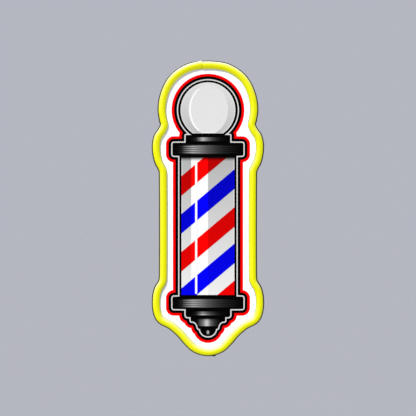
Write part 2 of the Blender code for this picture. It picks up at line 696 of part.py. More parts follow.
def make_button():
    width, length, thickness = SWITCH_SIZE
    low = (BUTTON_X - width / 2, SWITCH_BOTTOM, PART_BACK)
    high = (BUTTON_X + width / 2, SWITCH_BOTTOM + length, PART_BACK + thickness)
    body = add_block("switch_body", low, high, "grey_plastic")
    socket = PLUNGER_RADIUS + GAP
    bottom = SWITCH_BOTTOM - MM
    top = SOCKET_TOP
    socket_mesh = turned_mesh("switch_socket", [(0.0, top), (socket, top), (socket, bottom), (0.0, bottom)])
    cut(body, add("switch_socket", socket_mesh, None, (BUTTON_X, 0.0, BUTTON_DEPTH), "up"))
    low_end, high_end = PLUNGER_HEIGHTS
    plunger = [
        (0.0, high_end - low_end), (PLUNGER_RADIUS, high_end - low_end), (PLUNGER_RADIUS, 0.0), (0.0, 0.0),
    ]
    plunger_mesh = turned_mesh("switch_plunger", plunger)
    add("switch_plunger", plunger_mesh, "grey_plastic", (BUTTON_X, low_end, BUTTON_DEPTH), "up")
    flange_low, flange_high = (height - BUTTON_FACE for height in FLANGE_HEIGHTS)
    chamfer = 0.4 * MM
    button = [
        (0.0, flange_high), (BUTTON_FLANGE, flange_high), (BUTTON_FLANGE, flange_low),
        (BUTTON_RADIUS, flange_low), (BUTTON_RADIUS, chamfer), (BUTTON_RADIUS - chamfer, 0.0), (0.0, 0.0),
    ]
    add("power_button", turned_mesh("power_button", button), "grey_plastic",
        (BUTTON_X, BUTTON_FACE, BUTTON_DEPTH), "up")


def make_leads():
    width, length, thickness = CONNECTOR
    low = (-width / 2, CONNECTOR_TOP - length, PART_BACK)
    block = add_block("wire_connector", low, (width / 2, CONNECTOR_TOP, PART_BACK + thickness), "connector_white")
    columns = [(place - 1.5) * CONNECTOR_PITCH for place in range(4)]
    bore = [(0.0, MM), (WIRE_RADIUS + GAP, MM), (WIRE_RADIUS + GAP, -4 * MM), (0.0, -4 * MM)]
    bore_mesh = turned_mesh("wire_bore", bore, 8)
    for number, x in enumerate(columns, 1):
        cut(block, add(f"wire_bore_{number}", bore_mesh, None, (x, CONNECTOR_TOP, WIRE_DEPTH), "up"))
    end = CONNECTOR_TOP - WIRE_INSERT
    starts = lead_places()
    strip_side = STRIP_DEPTH[0] - GAP
    for name, (x, height), column, finish in (
        ("neon_lead_negative", starts[0], columns[0], "wire_black"),
        ("neon_lead_positive", starts[1], columns[3], "wire_red"),
    ):
        stops = [
            (x, height, strip_side), (x, height, WIRE_DEPTH), (x, 150.0 * MM, WIRE_DEPTH),
            (x, -100.0 * MM, WIRE_DEPTH), (column, -128.0 * MM, WIRE_DEPTH), (column, end, WIRE_DEPTH),
        ]
        add_wire(name, stops, finish)
    pad = FACE_STRIP_DEPTH[1] + GAP + WIRE_RADIUS
    for name, column, finish in (
        ("face_lead_positive", columns[2], "wire_red"),
        ("face_lead_negative", columns[1], "wire_black"),
    ):
        stops = [
            (column, FACE_STRIP[1] + 3 * MM, pad), (column, FACE_LEAD_HEIGHT, pad),
            (column, FACE_LEAD_HEIGHT, WIRE_DEPTH), (column, end, WIRE_DEPTH),
        ]
        add_wire(name, stops, finish)


def make_picture():
    silver, black, red = LINE_EDGES
    margin = GAP / 2
    rings = (
        ("silver_line", margin, silver - margin, "film_silver"),
        ("black_border", silver + margin, black - margin, "film_black"),
        ("red_border", black + margin, red, "film_red"),
    )
    back, white, colour, highlight = LEVELS
    for name, inner, outer, finish in rings:
        add_plate(name, [silhouette(outer), silhouette(inner)], (back, back + FILM), finish)
    add_plate("pole_silhouette", [silhouette(-margin)], (back, back + FILM), "film_black")
    centre = GLOBE[0]
    cut_angle = math.degrees(math.asin((centre - GLOBE_CUT) / GLOBE_FILM))
    globe = arc((0.0, centre), GLOBE_FILM, -cut_angle, 180 + cut_angle, 30)
    add_plate("globe_film", [globe], (white, white + FILM), "film_grey")
    lens = arc((0.0, centre), LENS, 0, 345, 23)
    add_plate("globe_lens_film", [lens], (colour, colour + FILM), "film_white")
    outer = arc((9.0 * MM, centre), (31.5 * MM, 33.0 * MM), 130, 230, 12)
    inner = arc((9.0 * MM, centre), (29.2 * MM, 32.4 * MM), 230, 130, 12)
    add_plate("globe_highlight_film", [outer + inner], (highlight, highlight + FILM), "film_white")
    half, bottom, top = SHAFT_FILM
    add_plate("shaft_film", [box_outline((-half, bottom), (half, top))], (white, white + FILM), "film_white")
    for name, top_at_middle in STRIPE_TOPS.items():
        add_plate(name, [clipped_stripe(top_at_middle)], (colour, colour + FILM), "film_" + name.split("_")[0])
    bar = box_outline((-15.4 * MM, -102.0 * MM), (-12.9 * MM, top))
    add_plate("shaft_highlight_film", [bar], (highlight, highlight + FILM), "film_white")
    for name, (half, bottom, top) in SHEENS.items():
        add_plate(name, [box_outline((-half, bottom), (half, top))], (white, white + FILM), "film_grey")
    height, across, up = BALL_SHEEN
    add_plate("ball_sheen_film", [arc((0.0, height), (across, up), 0, 340, 17)], (white, white + FILM), "film_grey")


start_scene()
make_finishes()
ROUTE = tube_route()
make_tube(ROUTE)
make_housing(ROUTE)
make_cover(ROUTE)
make_keyhole_plates()
make_face(ROUTE)
make_board()
make_inlet()
make_button()
make_leads()
make_picture()
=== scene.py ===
# %% [markdown]
# # The looks of a barber pole light
#
# The object is a wall-hung light: a loop of yellow neon-style tube in the outline of a barber pole, round
# a white face that shows a picture of the pole in red, blue, black and silver films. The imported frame
# holds every part as a plain solid. This lesson gives each visible part its real shape and finish, in the
# same place.
#
# Blender objects are in metres here, +Z is up and the sign faces -Y. Sizes are written in millimetres
# times MM.

# %% Load the frame
import math

import bmesh
import bpy
from mathutils import Matrix, Vector
from mathutils.geometry import interpolate_bezier


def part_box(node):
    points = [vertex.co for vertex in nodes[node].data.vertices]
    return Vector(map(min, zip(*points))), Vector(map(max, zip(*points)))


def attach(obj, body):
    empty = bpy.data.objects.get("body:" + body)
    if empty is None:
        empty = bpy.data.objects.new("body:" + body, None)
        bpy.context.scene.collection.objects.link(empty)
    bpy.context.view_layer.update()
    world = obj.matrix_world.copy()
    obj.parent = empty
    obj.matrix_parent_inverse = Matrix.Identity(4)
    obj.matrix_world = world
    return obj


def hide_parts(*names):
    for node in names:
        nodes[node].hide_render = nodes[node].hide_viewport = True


MM = 0.001
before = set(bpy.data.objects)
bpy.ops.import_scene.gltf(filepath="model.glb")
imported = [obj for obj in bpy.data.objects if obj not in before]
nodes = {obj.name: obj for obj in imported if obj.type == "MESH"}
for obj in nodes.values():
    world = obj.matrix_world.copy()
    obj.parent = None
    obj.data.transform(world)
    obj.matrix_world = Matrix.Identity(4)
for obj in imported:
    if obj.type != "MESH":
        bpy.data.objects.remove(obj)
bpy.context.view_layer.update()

# %% [markdown]
# ## Writing node trees as sums
#
# A material or a Geometry Nodes tree is easier to read as an expression than as a list of links. `Link`
# wraps one output socket and turns +, -, * and / into Math nodes. `Graph.node` adds any other node: its
# settings are made first, then its sockets get a value or a link. The same trees could be wired by hand
# in the node editor, but a sum shows at a glance what the tree works out.

# %% Links and graphs
class Link:
    """An output socket that takes part in sums."""

    def __init__(self, graph, socket):
        self.graph = graph
        self.socket = socket

    def also(self, name):
        """Another output of the same node."""
        return Link(self.graph, self.socket.node.outputs[name])

    def __add__(self, other):
        return self.graph.math("ADD", self, other)

    def __radd__(self, other):
        return self.graph.math("ADD", other, self)

    def __sub__(self, other):
        return self.graph.math("SUBTRACT", self, other)

    def __rsub__(self, other):
        return self.graph.math("SUBTRACT", other, self)

    def __mul__(self, other):
        return self.graph.math("MULTIPLY", self, other)

    def __rmul__(self, other):
        return self.graph.math("MULTIPLY", other, self)

    def __truediv__(self, other):
        return self.graph.math("DIVIDE", self, other)


class Graph:
    """A node tree written as calls."""

    def __init__(self, tree):
        self.tree = tree

    def node(self, kind, settings=None, sockets=None, output=0):
        made = self.tree.nodes.new(kind)
        for name, value in (settings or {}).items():
            if name == "stops":
                set_stops(made.color_ramp, value)
            else:
                setattr(made, name, value)
        for key, value in (sockets or {}).items():
            if isinstance(value, Link):
                self.tree.links.new(value.socket, made.inputs[key])
            else:
                made.inputs[key].default_value = value
        return Link(self, made.outputs[output]) if made.outputs else made

    def math(self, operation, *values):
        return self.node("ShaderNodeMath", {"operation": operation}, dict(enumerate(values)))


def set_stops(ramp, stops):
    """Gives a colour ramp its (position, colour) stops."""
    while len(ramp.elements) > 1:
        ramp.elements.remove(ramp.elements[-1])
    ramp.elements[0].position, ramp.elements[0].color = stops[0]
    for position, colour in stops[1:]:
        ramp.elements.new(position).color = colour


print("a link can be added, subtracted, multiplied and divided")

# %% [markdown]
# ## Colours
#
# Colours are easiest to name as the 0-255 values seen on a screen, but a shader works in linear light.
# `seen` turns the one into the other. `scaled` makes a darker or paler version of a colour, for the faint
# unevenness that every real surface has.

# %% Colours
def to_linear(value):
    """Screen light as linear light, both 0 to 1."""
    if value <= 0.04045:
        return value / 12.92
    return ((value + 0.055) / 1.055) ** 2.4


def seen(red, green=None, blue=None):
    """A linear colour from screen values, 0 to 255. One value alone is a grey."""
    screen = (red, red, red) if green is None else (red, green, blue)
    return (*(to_linear(value / 255) for value in screen), 1.0)


def scaled(colour, share, added=0.0):
    """A colour made darker or paler."""
    return tuple(part * share + added for part in colour[:3]) + (1.0,)


print("a screen grey of 128 is", round(seen(128)[0], 3), "in linear light")

# %% [markdown]
# ## Finishes
#
# Every finish is a Principled BSDF. `Finish` adds the few patterns that many materials share: the place
# on the object in millimetres, a fine noise, a value carried from one range to another, a colour ramp and
# a bump. They all come from sums on the object's own coordinates, so a finish needs no picture and shows
# no seams.

# %% The finish class
class Finish(Graph):
    """A material written as calls."""

    def __init__(self, name):
        self.material = bpy.data.materials.new(name)
        self.material.use_nodes = True
        super().__init__(self.material.node_tree)
        self.shader = self.tree.nodes["Principled BSDF"]

    def set(self, **sockets):
        """Sets the shader's sockets, whose names are written with _ for a space."""
        for name, value in sockets.items():
            socket = self.shader.inputs[name.replace("_", " ")]
            if isinstance(value, Link):
                self.tree.links.new(value.socket, socket)
            else:
                socket.default_value = value
        return self

    def spot(self):
        """The point on the object, in metres."""
        return self.node("ShaderNodeTexCoord", output="Object")

    def place(self):
        """x, height and depth on the object, in millimetres."""
        x = self.node("ShaderNodeSeparateXYZ", None, {0: self.spot()})
        return x * 1000.0, x.also("Z") * 1000.0, x.also("Y") * -1000.0

    def ranged(self, value, low, high, to_low=0.0, to_high=1.0):
        """A value carried from one range to another, and held at its ends."""
        sockets = {"Value": value, 1: low, 2: high, 3: to_low, 4: to_high}
        return self.node("ShaderNodeMapRange", {"clamp": True}, sockets)

    def ramp(self, value, stops):
        return self.node("ShaderNodeValToRGB", {"stops": stops}, {"Fac": value})

    def mix(self, factor, first, second, way="MIX"):
        settings = {"data_type": "RGBA", "blend_type": way}
        return self.node("ShaderNodeMix", settings, {0: factor, 6: first, 7: second}, 2)

    def grey(self, level):
        """A number as a grey colour."""
        return self.node("ShaderNodeCombineColor", None, {0: level, 1: level, 2: level})

    def noise(self, scale, detail=2.0):
        sockets = {"Vector": self.spot(), "Scale": scale, "Detail": detail}
        return self.node("ShaderNodeTexNoise", None, sockets)

    def bump(self, height, strength, distance):
        sockets = {"Height": height, "Strength": strength, "Distance": distance}
        return self.set(Normal=self.node("ShaderNodeBump", None, sockets))


print("patterns on offer: place, noise, ranged, ramp, mix, grey and bump")

# %% [markdown]
# ## Lit films
#
# The face glows from behind and also returns the room's light, so every film's colour goes to both Base
# Color and Emission Color. `RETURNED` is the share of the light falling on a film that comes back, and
# `GLOW` is how much comes through from behind. Light could be put behind a see-through film instead, but
# this is steadier and bakes well, and both shares are the same for the whole face, so that it looks like
# one lit sheet.

# %% Film finishes
RETURNED = 0.58
FILM_RETURNS = (RETURNED, RETURNED * 0.99, RETURNED * 0.96, 1.0)
GLOW = 0.14


def lit_from_behind(finish, colour, returned, roughness, gloss):
    """The material of a finish whose colour both returns light and glows."""
    finish.set(
        Base_Color=finish.mix(1.0, colour, returned, "MULTIPLY"),
        Emission_Color=colour,
        Emission_Strength=GLOW,
        Roughness=roughness,
        Specular_IOR_Level=gloss,
    )
    return finish.material


def lit_film(name, paint):
    """A film's finish: paint takes the finish and gives the film's colour."""
    finish = Finish(name)
    colour = paint(finish)
    grain = finish.ranged(finish.noise(900.0), 0.3, 0.7, 0.46, 0.54)
    return lit_from_behind(finish, colour, FILM_RETURNS, grain, 0.02)


def plain(colour):
    """A film of one colour, with the faint cloudiness of a cast film."""
    def paint(finish):
        thin = finish.ranged(finish.noise(60.0, 4.0), 0.4, 0.6)
        return finish.mix(thin, colour, scaled(colour, 0.96))
    return paint


film_finish = {
    "red": lit_film("red_film", plain(seen(255, 0, 0))),
    "black": lit_film("black_film", plain(seen(0))),
    "silver": lit_film("silver_film", plain(seen(222))),
    "white": lit_film("white_film", plain(seen(255))),
}
print("film finishes:", *film_finish)

# %% [markdown]
# ## The tube's route
#
# The tube, the tray that holds it, the rear cover and the face all follow one closed line. Only its right
# half is written down, from beside the joint at the top to the middle of the bottom. A Bezier piece
# between each pair of points, with handles along the line through their neighbours, makes it smooth, and
# it gets more steps where it bends more. A curve object could draw it too, but plain points are easier to
# move outwards, as the tray and the cover need.

# %% Route points and offsets
HALF_ROUTE = (
    (7.0, 171.8), (22.7, 169.0), (37.4, 160.5), (46.5, 150.0), (53.0, 134.5), (55.2, 119.0), (53.7, 107.0),
    (52.3, 100.3), (54.9, 93.6), (60.2, 85.3), (62.1, 73.0), (59.6, 57.2), (54.4, 46.5), (53.6, 38.0),
    (53.6, -80.0), (54.6, -88.5), (59.6, -97.2), (62.0, -109.0), (61.1, -123.7), (56.6, -133.4),
    (44.0, -140.6), (32.7, -150.4), (24.2, -160.3), (14.6, -168.6), (0.0, -172.4),
)
TURN_PER_STEP = math.radians(2.0)
LONGEST_STEP = 4.0 * MM


def smooth_loop(points):
    """A closed smooth line through the points."""
    points = [Vector(point) for point in points]
    loop = []
    for i in range(len(points)):
        before, start, end, after = (points[(i + offset) % len(points)] for offset in (-1, 0, 1, 2))
        leave = (end - before).normalized()
        arrive = (after - start).normalized()
        length = (end - start).length
        steps = math.ceil(max(leave.angle(arrive) / TURN_PER_STEP, length / LONGEST_STEP))
        first_handle = start + leave * (length / 3)
        last_handle = end - arrive * (length / 3)
        loop += interpolate_bezier(start, first_handle, last_handle, end, steps + 1)[:-1]
    return loop


def moved_out(loop, distance):
    """The loop moved outwards by a distance. It runs anticlockwise."""
    shifted = []
    for i, point in enumerate(loop):
        along = (loop[(i + 1) % len(loop)] - loop[i - 1]).normalized()
        shifted.append(point + Vector((along.y, -along.x)) * distance)
    return shifted


right = [(x * MM, height * MM) for x, height in HALF_ROUTE]
route = smooth_loop([(-x, height) for x, height in right[:-1]] + [right[-1]] + right[-2::-1])
print("route:", len(route), "points")


# %% [markdown]
# ## Making pieces
#
# Flat work is drawn lying down, with x to the right, y up the sign and z out of the wall, and then stood
# up. Each finished piece is a plain mesh at the origin, because patterns read the object's own
# coordinates. It rides on its CAD body and hides the CAD nodes that it stands for.

# %% Meshes and finished pieces
STAND_UP = Matrix(((1, 0, 0, 0), (0, 0, -1, 0), (0, 1, 0, 0), (0, 0, 0, 1)))
WELD = 0.0005 * MM


def scratch(name, data):
    """A new object in the scene."""
    obj = bpy.data.objects.new(name, data)
    bpy.context.scene.collection.objects.link(obj)
    return obj


def mesh_of(obj):
    """The evaluated object as a plain mesh with its modifiers applied, and the object removed."""
    bpy.context.view_layer.update()
    graph = bpy.context.evaluated_depsgraph_get()
    mesh = bpy.data.meshes.new_from_object(obj.evaluated_get(graph))
    mesh.transform(obj.matrix_world)
    bpy.data.objects.remove(obj)
    return mesh


def mesh_from(work, mesh=None):
    """A bmesh written to a mesh, and freed."""
    if mesh is None:
        mesh = bpy.data.meshes.new("worked")
    work.to_mesh(mesh)
    work.free()
    return mesh


def close_up(mesh):
    """Merges the mesh's doubled points and turns its faces outwards."""
    work = bmesh.new()
    work.from_mesh(mesh)
    bmesh.ops.remove_doubles(work, verts=work.verts, dist=WELD)
    bmesh.ops.recalc_face_normals(work, faces=work.faces)
    return mesh_from(work, mesh)


def finished(name, mesh, material, stands_for=(), body="root", smooth=True, sharp=32):
    """Puts a finished mesh in the scene as a piece of the object."""
    mesh.materials.clear()
    mesh.materials.append(material)
    if smooth:
        mesh.shade_smooth()
        mesh.set_sharp_from_angle(angle=math.radians(sharp))
    obj = scratch(name, mesh)
    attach(obj, body)
    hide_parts(*stands_for)
    print(name, len(mesh.polygons), "faces")
    return obj


# %% [markdown]
# ## Simple solids and cuts
#
# Many small parts are boxes, turned shapes, or blanks with something cut away, as a workshop makes them
# on a mill and a lathe. A lathe is the Screw modifier on a profile, and a cut is a Boolean, which keeps
# every edge exactly where the tool would leave it.

# %% Boxes, turned shapes and cuts
def box_mesh(low, high):
    """A box between two (x, height, depth) corners, stood up."""
    low, high = Vector(low), Vector(high)
    work = bmesh.new()
    bmesh.ops.create_cube(work, size=1.0)
    bmesh.ops.scale(work, vec=high - low, verts=work.verts)
    bmesh.ops.translate(work, vec=(low + high) / 2, verts=work.verts)
    mesh = mesh_from(work)
    mesh.transform(STAND_UP)
    return mesh


def moved(mesh, at, upright=False):
    """A copy of a mesh moved to (x, height, depth). One that isn't upright already is stood up first."""
    x, height, depth = at
    copy = mesh.copy()
    if not upright:
        copy.transform(STAND_UP)
    copy.transform(Matrix.Translation((x, -depth, height)))
    return copy


def joined(meshes):
    """Several meshes as one, each kept as it is."""
    work = bmesh.new()
    for mesh in meshes:
        work.from_mesh(mesh)
    return mesh_from(work)


def copies(mesh, spots):
    """One mesh with a copy at each (x, height) spot."""
    return joined([moved(mesh, (x, height, 0.0)) for x, height in spots])


def carved(mesh, cutters, operation="DIFFERENCE"):
    """The mesh with each cutter mesh taken away, or joined on."""
    obj = scratch("carved", mesh)
    helpers = [scratch("cutter", cutter) for cutter in cutters]
    for helper in helpers:
        boolean = obj.modifiers.new("cut", "BOOLEAN")
        boolean.operation = operation
        boolean.object = helper
    result = mesh_of(obj)
    for helper in helpers:
        bpy.data.objects.remove(helper)
    return result


def lathed(profile, steps=48):
    """A (radius, height) profile, from the top down its outer side, turned about Z by Screw."""
    mesh = bpy.data.meshes.new("profile")
    edges = [(i, i + 1) for i in range(len(profile) - 1)]
    mesh.from_pydata([(radius, 0.0, height) for radius, height in profile], edges, [])
    obj = scratch("lathed", mesh)
    screw = obj.modifiers.new("turn", "SCREW")
    screw.steps = steps
    screw.render_steps = steps
    screw.use_merge_vertices = True
    screw.merge_threshold = 0.001 * MM
    return close_up(mesh_of(obj))


def rod(radius, back, front, steps=32):
    """A plain cylinder between two heights on the lathe."""
    return lathed([(0.0, front), (radius, front), (radius, back), (0.0, back)], steps)


print("solids on offer: box, rod and lathed profile")

# %% [markdown]
# ## Geometry Nodes trees
#
# What repeats or follows a line comes from a Geometry Nodes tree with named inputs. The helpers here
# start a tree, end it in Realize Instances and Set Material, and turn its result into a plain mesh, which
# an export keeps.

# %% Tree helpers
def new_geometry_tree(name, inputs):
    """An empty tree whose first input and only output are geometry, with further named inputs."""
    tree = bpy.data.node_groups.new(name, "GeometryNodeTree")
    tree.interface.new_socket("Geometry", in_out="INPUT", socket_type="NodeSocketGeometry")
    for label, kind in inputs.items():
        tree.interface.new_socket(label, in_out="INPUT", socket_type="NodeSocket" + kind)
    tree.interface.new_socket("Geometry", in_out="OUTPUT", socket_type="NodeSocketGeometry")
    graph = Graph(tree)
    given = graph.node("NodeGroupInput")
    return graph, given


def close_tree(graph, geometry, material):
    """Ends a tree in Realize Instances and Set Material."""
    real = graph.node("GeometryNodeRealizeInstances", None, {"Geometry": geometry})
    painted = graph.node("GeometryNodeSetMaterial", None, {"Geometry": real, "Material": material})
    graph.node("NodeGroupOutput", None, {0: painted})
    print("tree", graph.tree.name, "has", len(graph.tree.nodes), "nodes")
    return graph.tree


def run_tree(tree, mesh, **values):
    """The plain mesh that a tree makes from a mesh, with its named inputs set by their identifiers."""
    obj = scratch(tree.name, mesh)
    modifier = obj.modifiers.new("nodes", "NODES")
    modifier.node_group = tree
    for item in tree.interface.items_tree:
        if item.in_out == "INPUT" and item.name in values:
            modifier[item.identifier] = values[item.name]
    return mesh_of(obj)


# %% [markdown]
# ## Carrying a section along a line
#
# The tube and the tray are each one section carried along a line: the silicone is extruded and then bent,
# and the tray is moulded to the same line. A curve's bevel could do it, but a tree takes any section from
# an object and carries it with Curve to Mesh. The line lies flat with its normals up, so that the section
# never twists.

# %% The carrying tree
graph, given = new_geometry_tree("carry_section", {"Section": "Object", "Finish": "Material"})
line = graph.node("GeometryNodeMeshToCurve", None, {"Mesh": given})
level = graph.node("GeometryNodeSetCurveNormal", {"mode": "Z_UP"}, {"Curve": line})
section = graph.node("GeometryNodeObjectInfo", None, {"Object": given.also("Section")}, "Geometry")
edge = graph.node("GeometryNodeMeshToCurve", None, {"Mesh": section})
skin = graph.node("GeometryNodeCurveToMesh", None, {"Curve": level, "Profile Curve": edge})
carry_section = close_tree(graph, skin, given.also("Finish"))


def ring_mesh(points):
    """A closed line through the points, as a mesh of edges only."""
    mesh = bpy.data.meshes.new("ring")
    edges = [(i, (i + 1) % len(points)) for i in range(len(points))]
    mesh.from_pydata([Vector(point).to_3d() for point in points], edges, [])
    return mesh


def carried(loop, section, material):
    """A section of (outward, depth) points carried round a flat loop, stood up."""
    guide = scratch("section", ring_mesh([(outward, -depth) for outward, depth in section]))
    mesh = run_tree(carry_section, ring_mesh(loop), Section=guide, Finish=material)
    bpy.data.objects.remove(guide)
    mesh.transform(STAND_UP)
    return close_up(mesh)


# %% [markdown]
# ## Outlines
#
# Sections and plates are drawn with arcs and with corners eased by Bezier pieces, because no moulded or
# cut edge is truly sharp, and a small rounding is what catches the light.

# %% Arcs and eased corners
def eased(corners, radii, steps=4):
    """An outline whose corners are rounded, each by its own radius. A radius of 0 keeps the corner."""
    outline = []
    pull = 0.55
    for i in range(len(corners)):
        radius = radii[i] if isinstance(radii, (list, tuple)) else radii
        before, corner, after = (Vector(corners[j % len(corners)]) for j in (i - 1, i, i + 1))
        if not radius:
            outline.append(corner)
            continue
        entry = corner + (before - corner).normalized() * radius
        leave = corner + (after - corner).normalized() * radius
        handles = (entry.lerp(corner, pull), leave.lerp(corner, pull))
        outline += interpolate_bezier(entry, *handles, leave, steps + 1)
    return outline


def arc(centre, radius, first, last, steps):
    """Points of an arc between two angles in degrees. The radius may be one number or one for each axis."""
    across, up = radius if isinstance(radius, tuple) else (radius, radius)
    angles = [math.radians(first + (last - first) * i / steps) for i in range(steps + 1)]
    return [(centre[0] + across * math.cos(a), centre[1] + up * math.sin(a)) for a in angles]


def rectangle(low, high):
    """A rectangle's corners, anticlockwise from the lower left."""
    return [(low[0], low[1]), (high[0], low[1]), (high[0], high[1]), (low[0], high[1])]


print("a quarter turn in six steps has", len(arc((0, 0), 1, 0, 90, 6)), "points")

# %% [markdown]
# ## The tube's silicone
#
# The tube is extruded silicone, milky and yellow, over a strip of LEDs. It glows most along the crown of
# its dome and less low on its sides, where the light has further to go, so the glow is a mix on how far a
# point stands in front of the wall. A painted highlight makes what faces up paler: a pale cream is mixed
# into the base colour and the glow by how far the surface faces up, in place of light from above.
# Subsurface scattering is not used, as it is slow and isn't baked. The sides keep a soft satin gloss.

# %% Silicone
CLEAR_YELLOW = seen(250, 251, 0)
DEEP_YELLOW = seen(236, 237, 0)
# The pale cream of the painted highlight on what faces up.
PAINTED_HIGHLIGHT_GLOW = (1.0, 1.0, 0.62, 1.0)


def silicone():
    finish = Finish("yellow_silicone")
    depth = finish.place()[2]
    crown = finish.ranged(depth, 21.0, 27.0)
    cloud = finish.ranged(finish.noise(140.0, 3.0), 0.35, 0.65)
    deep = finish.mix(crown, DEEP_YELLOW, CLEAR_YELLOW)
    glow = finish.mix(cloud * 0.3, deep, DEEP_YELLOW)
    # Painted highlight: the base colour and the glow turn pale cream where the surface faces up.
    normal = finish.node("ShaderNodeTexCoord", output="Normal")
    parts = finish.node("ShaderNodeSeparateXYZ", None, {0: normal})
    facing_up = finish.ranged(parts.also("Z") * 0.98 - parts * 0.15, 0.0, 0.9)
    painted_highlight = finish.math("POWER", facing_up, 1.5)
    finish.set(
        Base_Color=finish.mix(painted_highlight, (0.33, 0.33, 0.0, 1.0), (0.36, 0.36, 0.26, 1.0)),
        Emission_Color=finish.mix(painted_highlight, glow, PAINTED_HIGHLIGHT_GLOW),
        Emission_Strength=0.46,
        Roughness=finish.ranged(finish.noise(700.0), 0.3, 0.7, 0.4, 0.48),
        Specular_IOR_Level=0.15,
    )
    return finish.bump(finish.noise(2500.0), 0.08, 0.05 * MM).material


silicone_finish = silicone()
print("silicone nodes:", len(silicone_finish.node_tree.nodes))

# %% [markdown]
# ## The neon-style tube
#
# The tube's section is a dome on straight sides, with a stepped slot behind for the LED strip. It is one
# length bent round the route, so its two ends meet at a joint near the top, where a thin gap shows and
# the springy left end stands up a little. The gap is a Boolean cut, and the lift moves the points near
# the joint by a square law, as a bent strip springs.

# %% The tube
TUBE_HALF = 4.0 * MM
TUBE_BACK = 12.9 * MM
SLOT_MOUTH = (2.8 * MM, 13.9 * MM)
SLOT_FLOOR = (1.8 * MM, 15.3 * MM)
DOME_CENTRE = 23.0 * MM
JOINT_X = -7.0 * MM
JOINT_GAP = 0.3 * MM
SAW_HEIGHTS = (160 * MM, 190 * MM)
SAW_DEPTH = 40 * MM
SKIRT = (0.3 * MM, 20.5 * MM)
JOINT_LIFT = 1.2 * MM
LIFT_REACH = 17.0 * MM
LIFT_ABOVE = 150.0 * MM
LIFT_EASED_OVER = 1.2 * MM

dome = arc((0.0, DOME_CENTRE), TUBE_HALF, 180, 0, 24)
half_slot = [
    (TUBE_HALF, TUBE_BACK), (SLOT_MOUTH[0], TUBE_BACK), SLOT_MOUTH, (SLOT_FLOOR[0], SLOT_MOUTH[1]),
    SLOT_FLOOR,
]
tube_section = dome + half_slot + [(-x, depth) for x, depth in reversed(half_slot)]
tube = carried(route, tube_section, silicone_finish)
gap_low = (JOINT_X - JOINT_GAP / 2, SAW_HEIGHTS[0], 0.0)
gap_high = (JOINT_X + JOINT_GAP / 2, SAW_HEIGHTS[1], SAW_DEPTH)
tube = carved(tube, [box_mesh(gap_low, gap_high)])
for vertex in tube.vertices:
    reach = 1 - (JOINT_X - vertex.co.x) / LIFT_REACH
    if 0 < reach <= 1 and vertex.co.z > LIFT_ABOVE:
        above_tray = min(max((-vertex.co.y - SKIRT[1]) / LIFT_EASED_OVER, 0.0), 1.0)
        vertex.co.z += JOINT_LIFT * reach * reach * above_tray
finished("neon_tube", tube, silicone_finish, ["neon_diffuser"], sharp=50)

# %% [markdown]
# ## Moulded black plastic
#
# The tray, the rear cover and the button are moulded. A spark-eroded mould leaves a fine, even grain,
# which shows as a soft sparkle, and handling leaves faint cloudy patches where the surface is a little
# smoother. The grain is too fine for geometry, so a noise drives a small bump, and two coarser ones the
# roughness and the shade.

# %% Black plastic
def moulded(name, colour, roughness=0.5):
    finish = Finish(name)
    handled = finish.ranged(finish.noise(22.0, 3.0), 0.4, 0.65, roughness, roughness - 0.1)
    shade = finish.ranged(finish.noise(8.0, 4.0), 0.3, 0.7, 0.0, 0.25)
    lighter = scaled(colour, 1.8, 0.004)
    finish.set(Base_Color=finish.mix(shade, colour, lighter), Roughness=handled, Specular_IOR_Level=0.4)
    return finish.bump(finish.noise(2200.0, 3.0), 0.35, 0.08 * MM).material


black_plastic = moulded("black_plastic", seen(30, 30, 31))
grey_plastic = moulded("grey_plastic", seen(92, 93, 95), 0.42)
print("plastics:", black_plastic.name, grey_plastic.name)

# %% [markdown]
# ## Plates
#
# The face, the films, the rear cover and the steel plates are all sheet with an outline and sometimes
# holes. A box with Boolean cuts would leave untidy faces, so each is a 2D curve filled between its
# outlines, and a small bevel gives its edges their rounding.

# %% Plates and slots
def capsule(width, height, steps=12):
    """A slot outline with round ends about the origin, wider than it is high."""
    radius = height / 2
    reach = width / 2 - radius
    return arc((reach, 0.0), radius, -90, 90, steps) + arc((-reach, 0.0), radius, 90, 270, steps)


def plate(outlines, thickness, rounding=0.0):
    """A flat piece of closed outlines, the first its edge and the rest holes, centred on its thickness."""
    curve = bpy.data.curves.new("plate", "CURVE")
    curve.dimensions = "2D"
    curve.fill_mode = "BOTH"
    curve.extrude = thickness / 2 - rounding
    curve.bevel_depth = rounding
    curve.bevel_resolution = 2
    curve.offset = -rounding
    for outline in outlines:
        spline = curve.splines.new("POLY")
        spline.points.add(len(outline) - 1)
        for point, place in zip(spline.points, outline):
            point.co = (*Vector(place).to_3d(), 1.0)
        spline.use_cyclic_u = True
    return close_up(mesh_of(scratch("plate", curve)))


def middle_of(name):
    """The middle of a CAD node's box."""
    low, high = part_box(name)
    return (low + high) / 2


inlet = middle_of("usb_shell")
button = middle_of("power_button")
print("inlet at x", round(inlet.x / MM, 1), "and button at x", round(button.x / MM, 1), "mm")

# %% [markdown]
# ## The tray
#
# The tray holds the tube in a channel and has a skirt behind it that hides the works. It is one section
# carried round the route, with its mouldings' corners eased by Bezier arcs. Bosses for the cover's screws
# stand behind the channel, the tube's two leads come through its floor, and the inlet and the button look
# out through holes in the bottom of the skirt. The bosses are joined on and the holes cut by Booleans,
# because they cross the section.

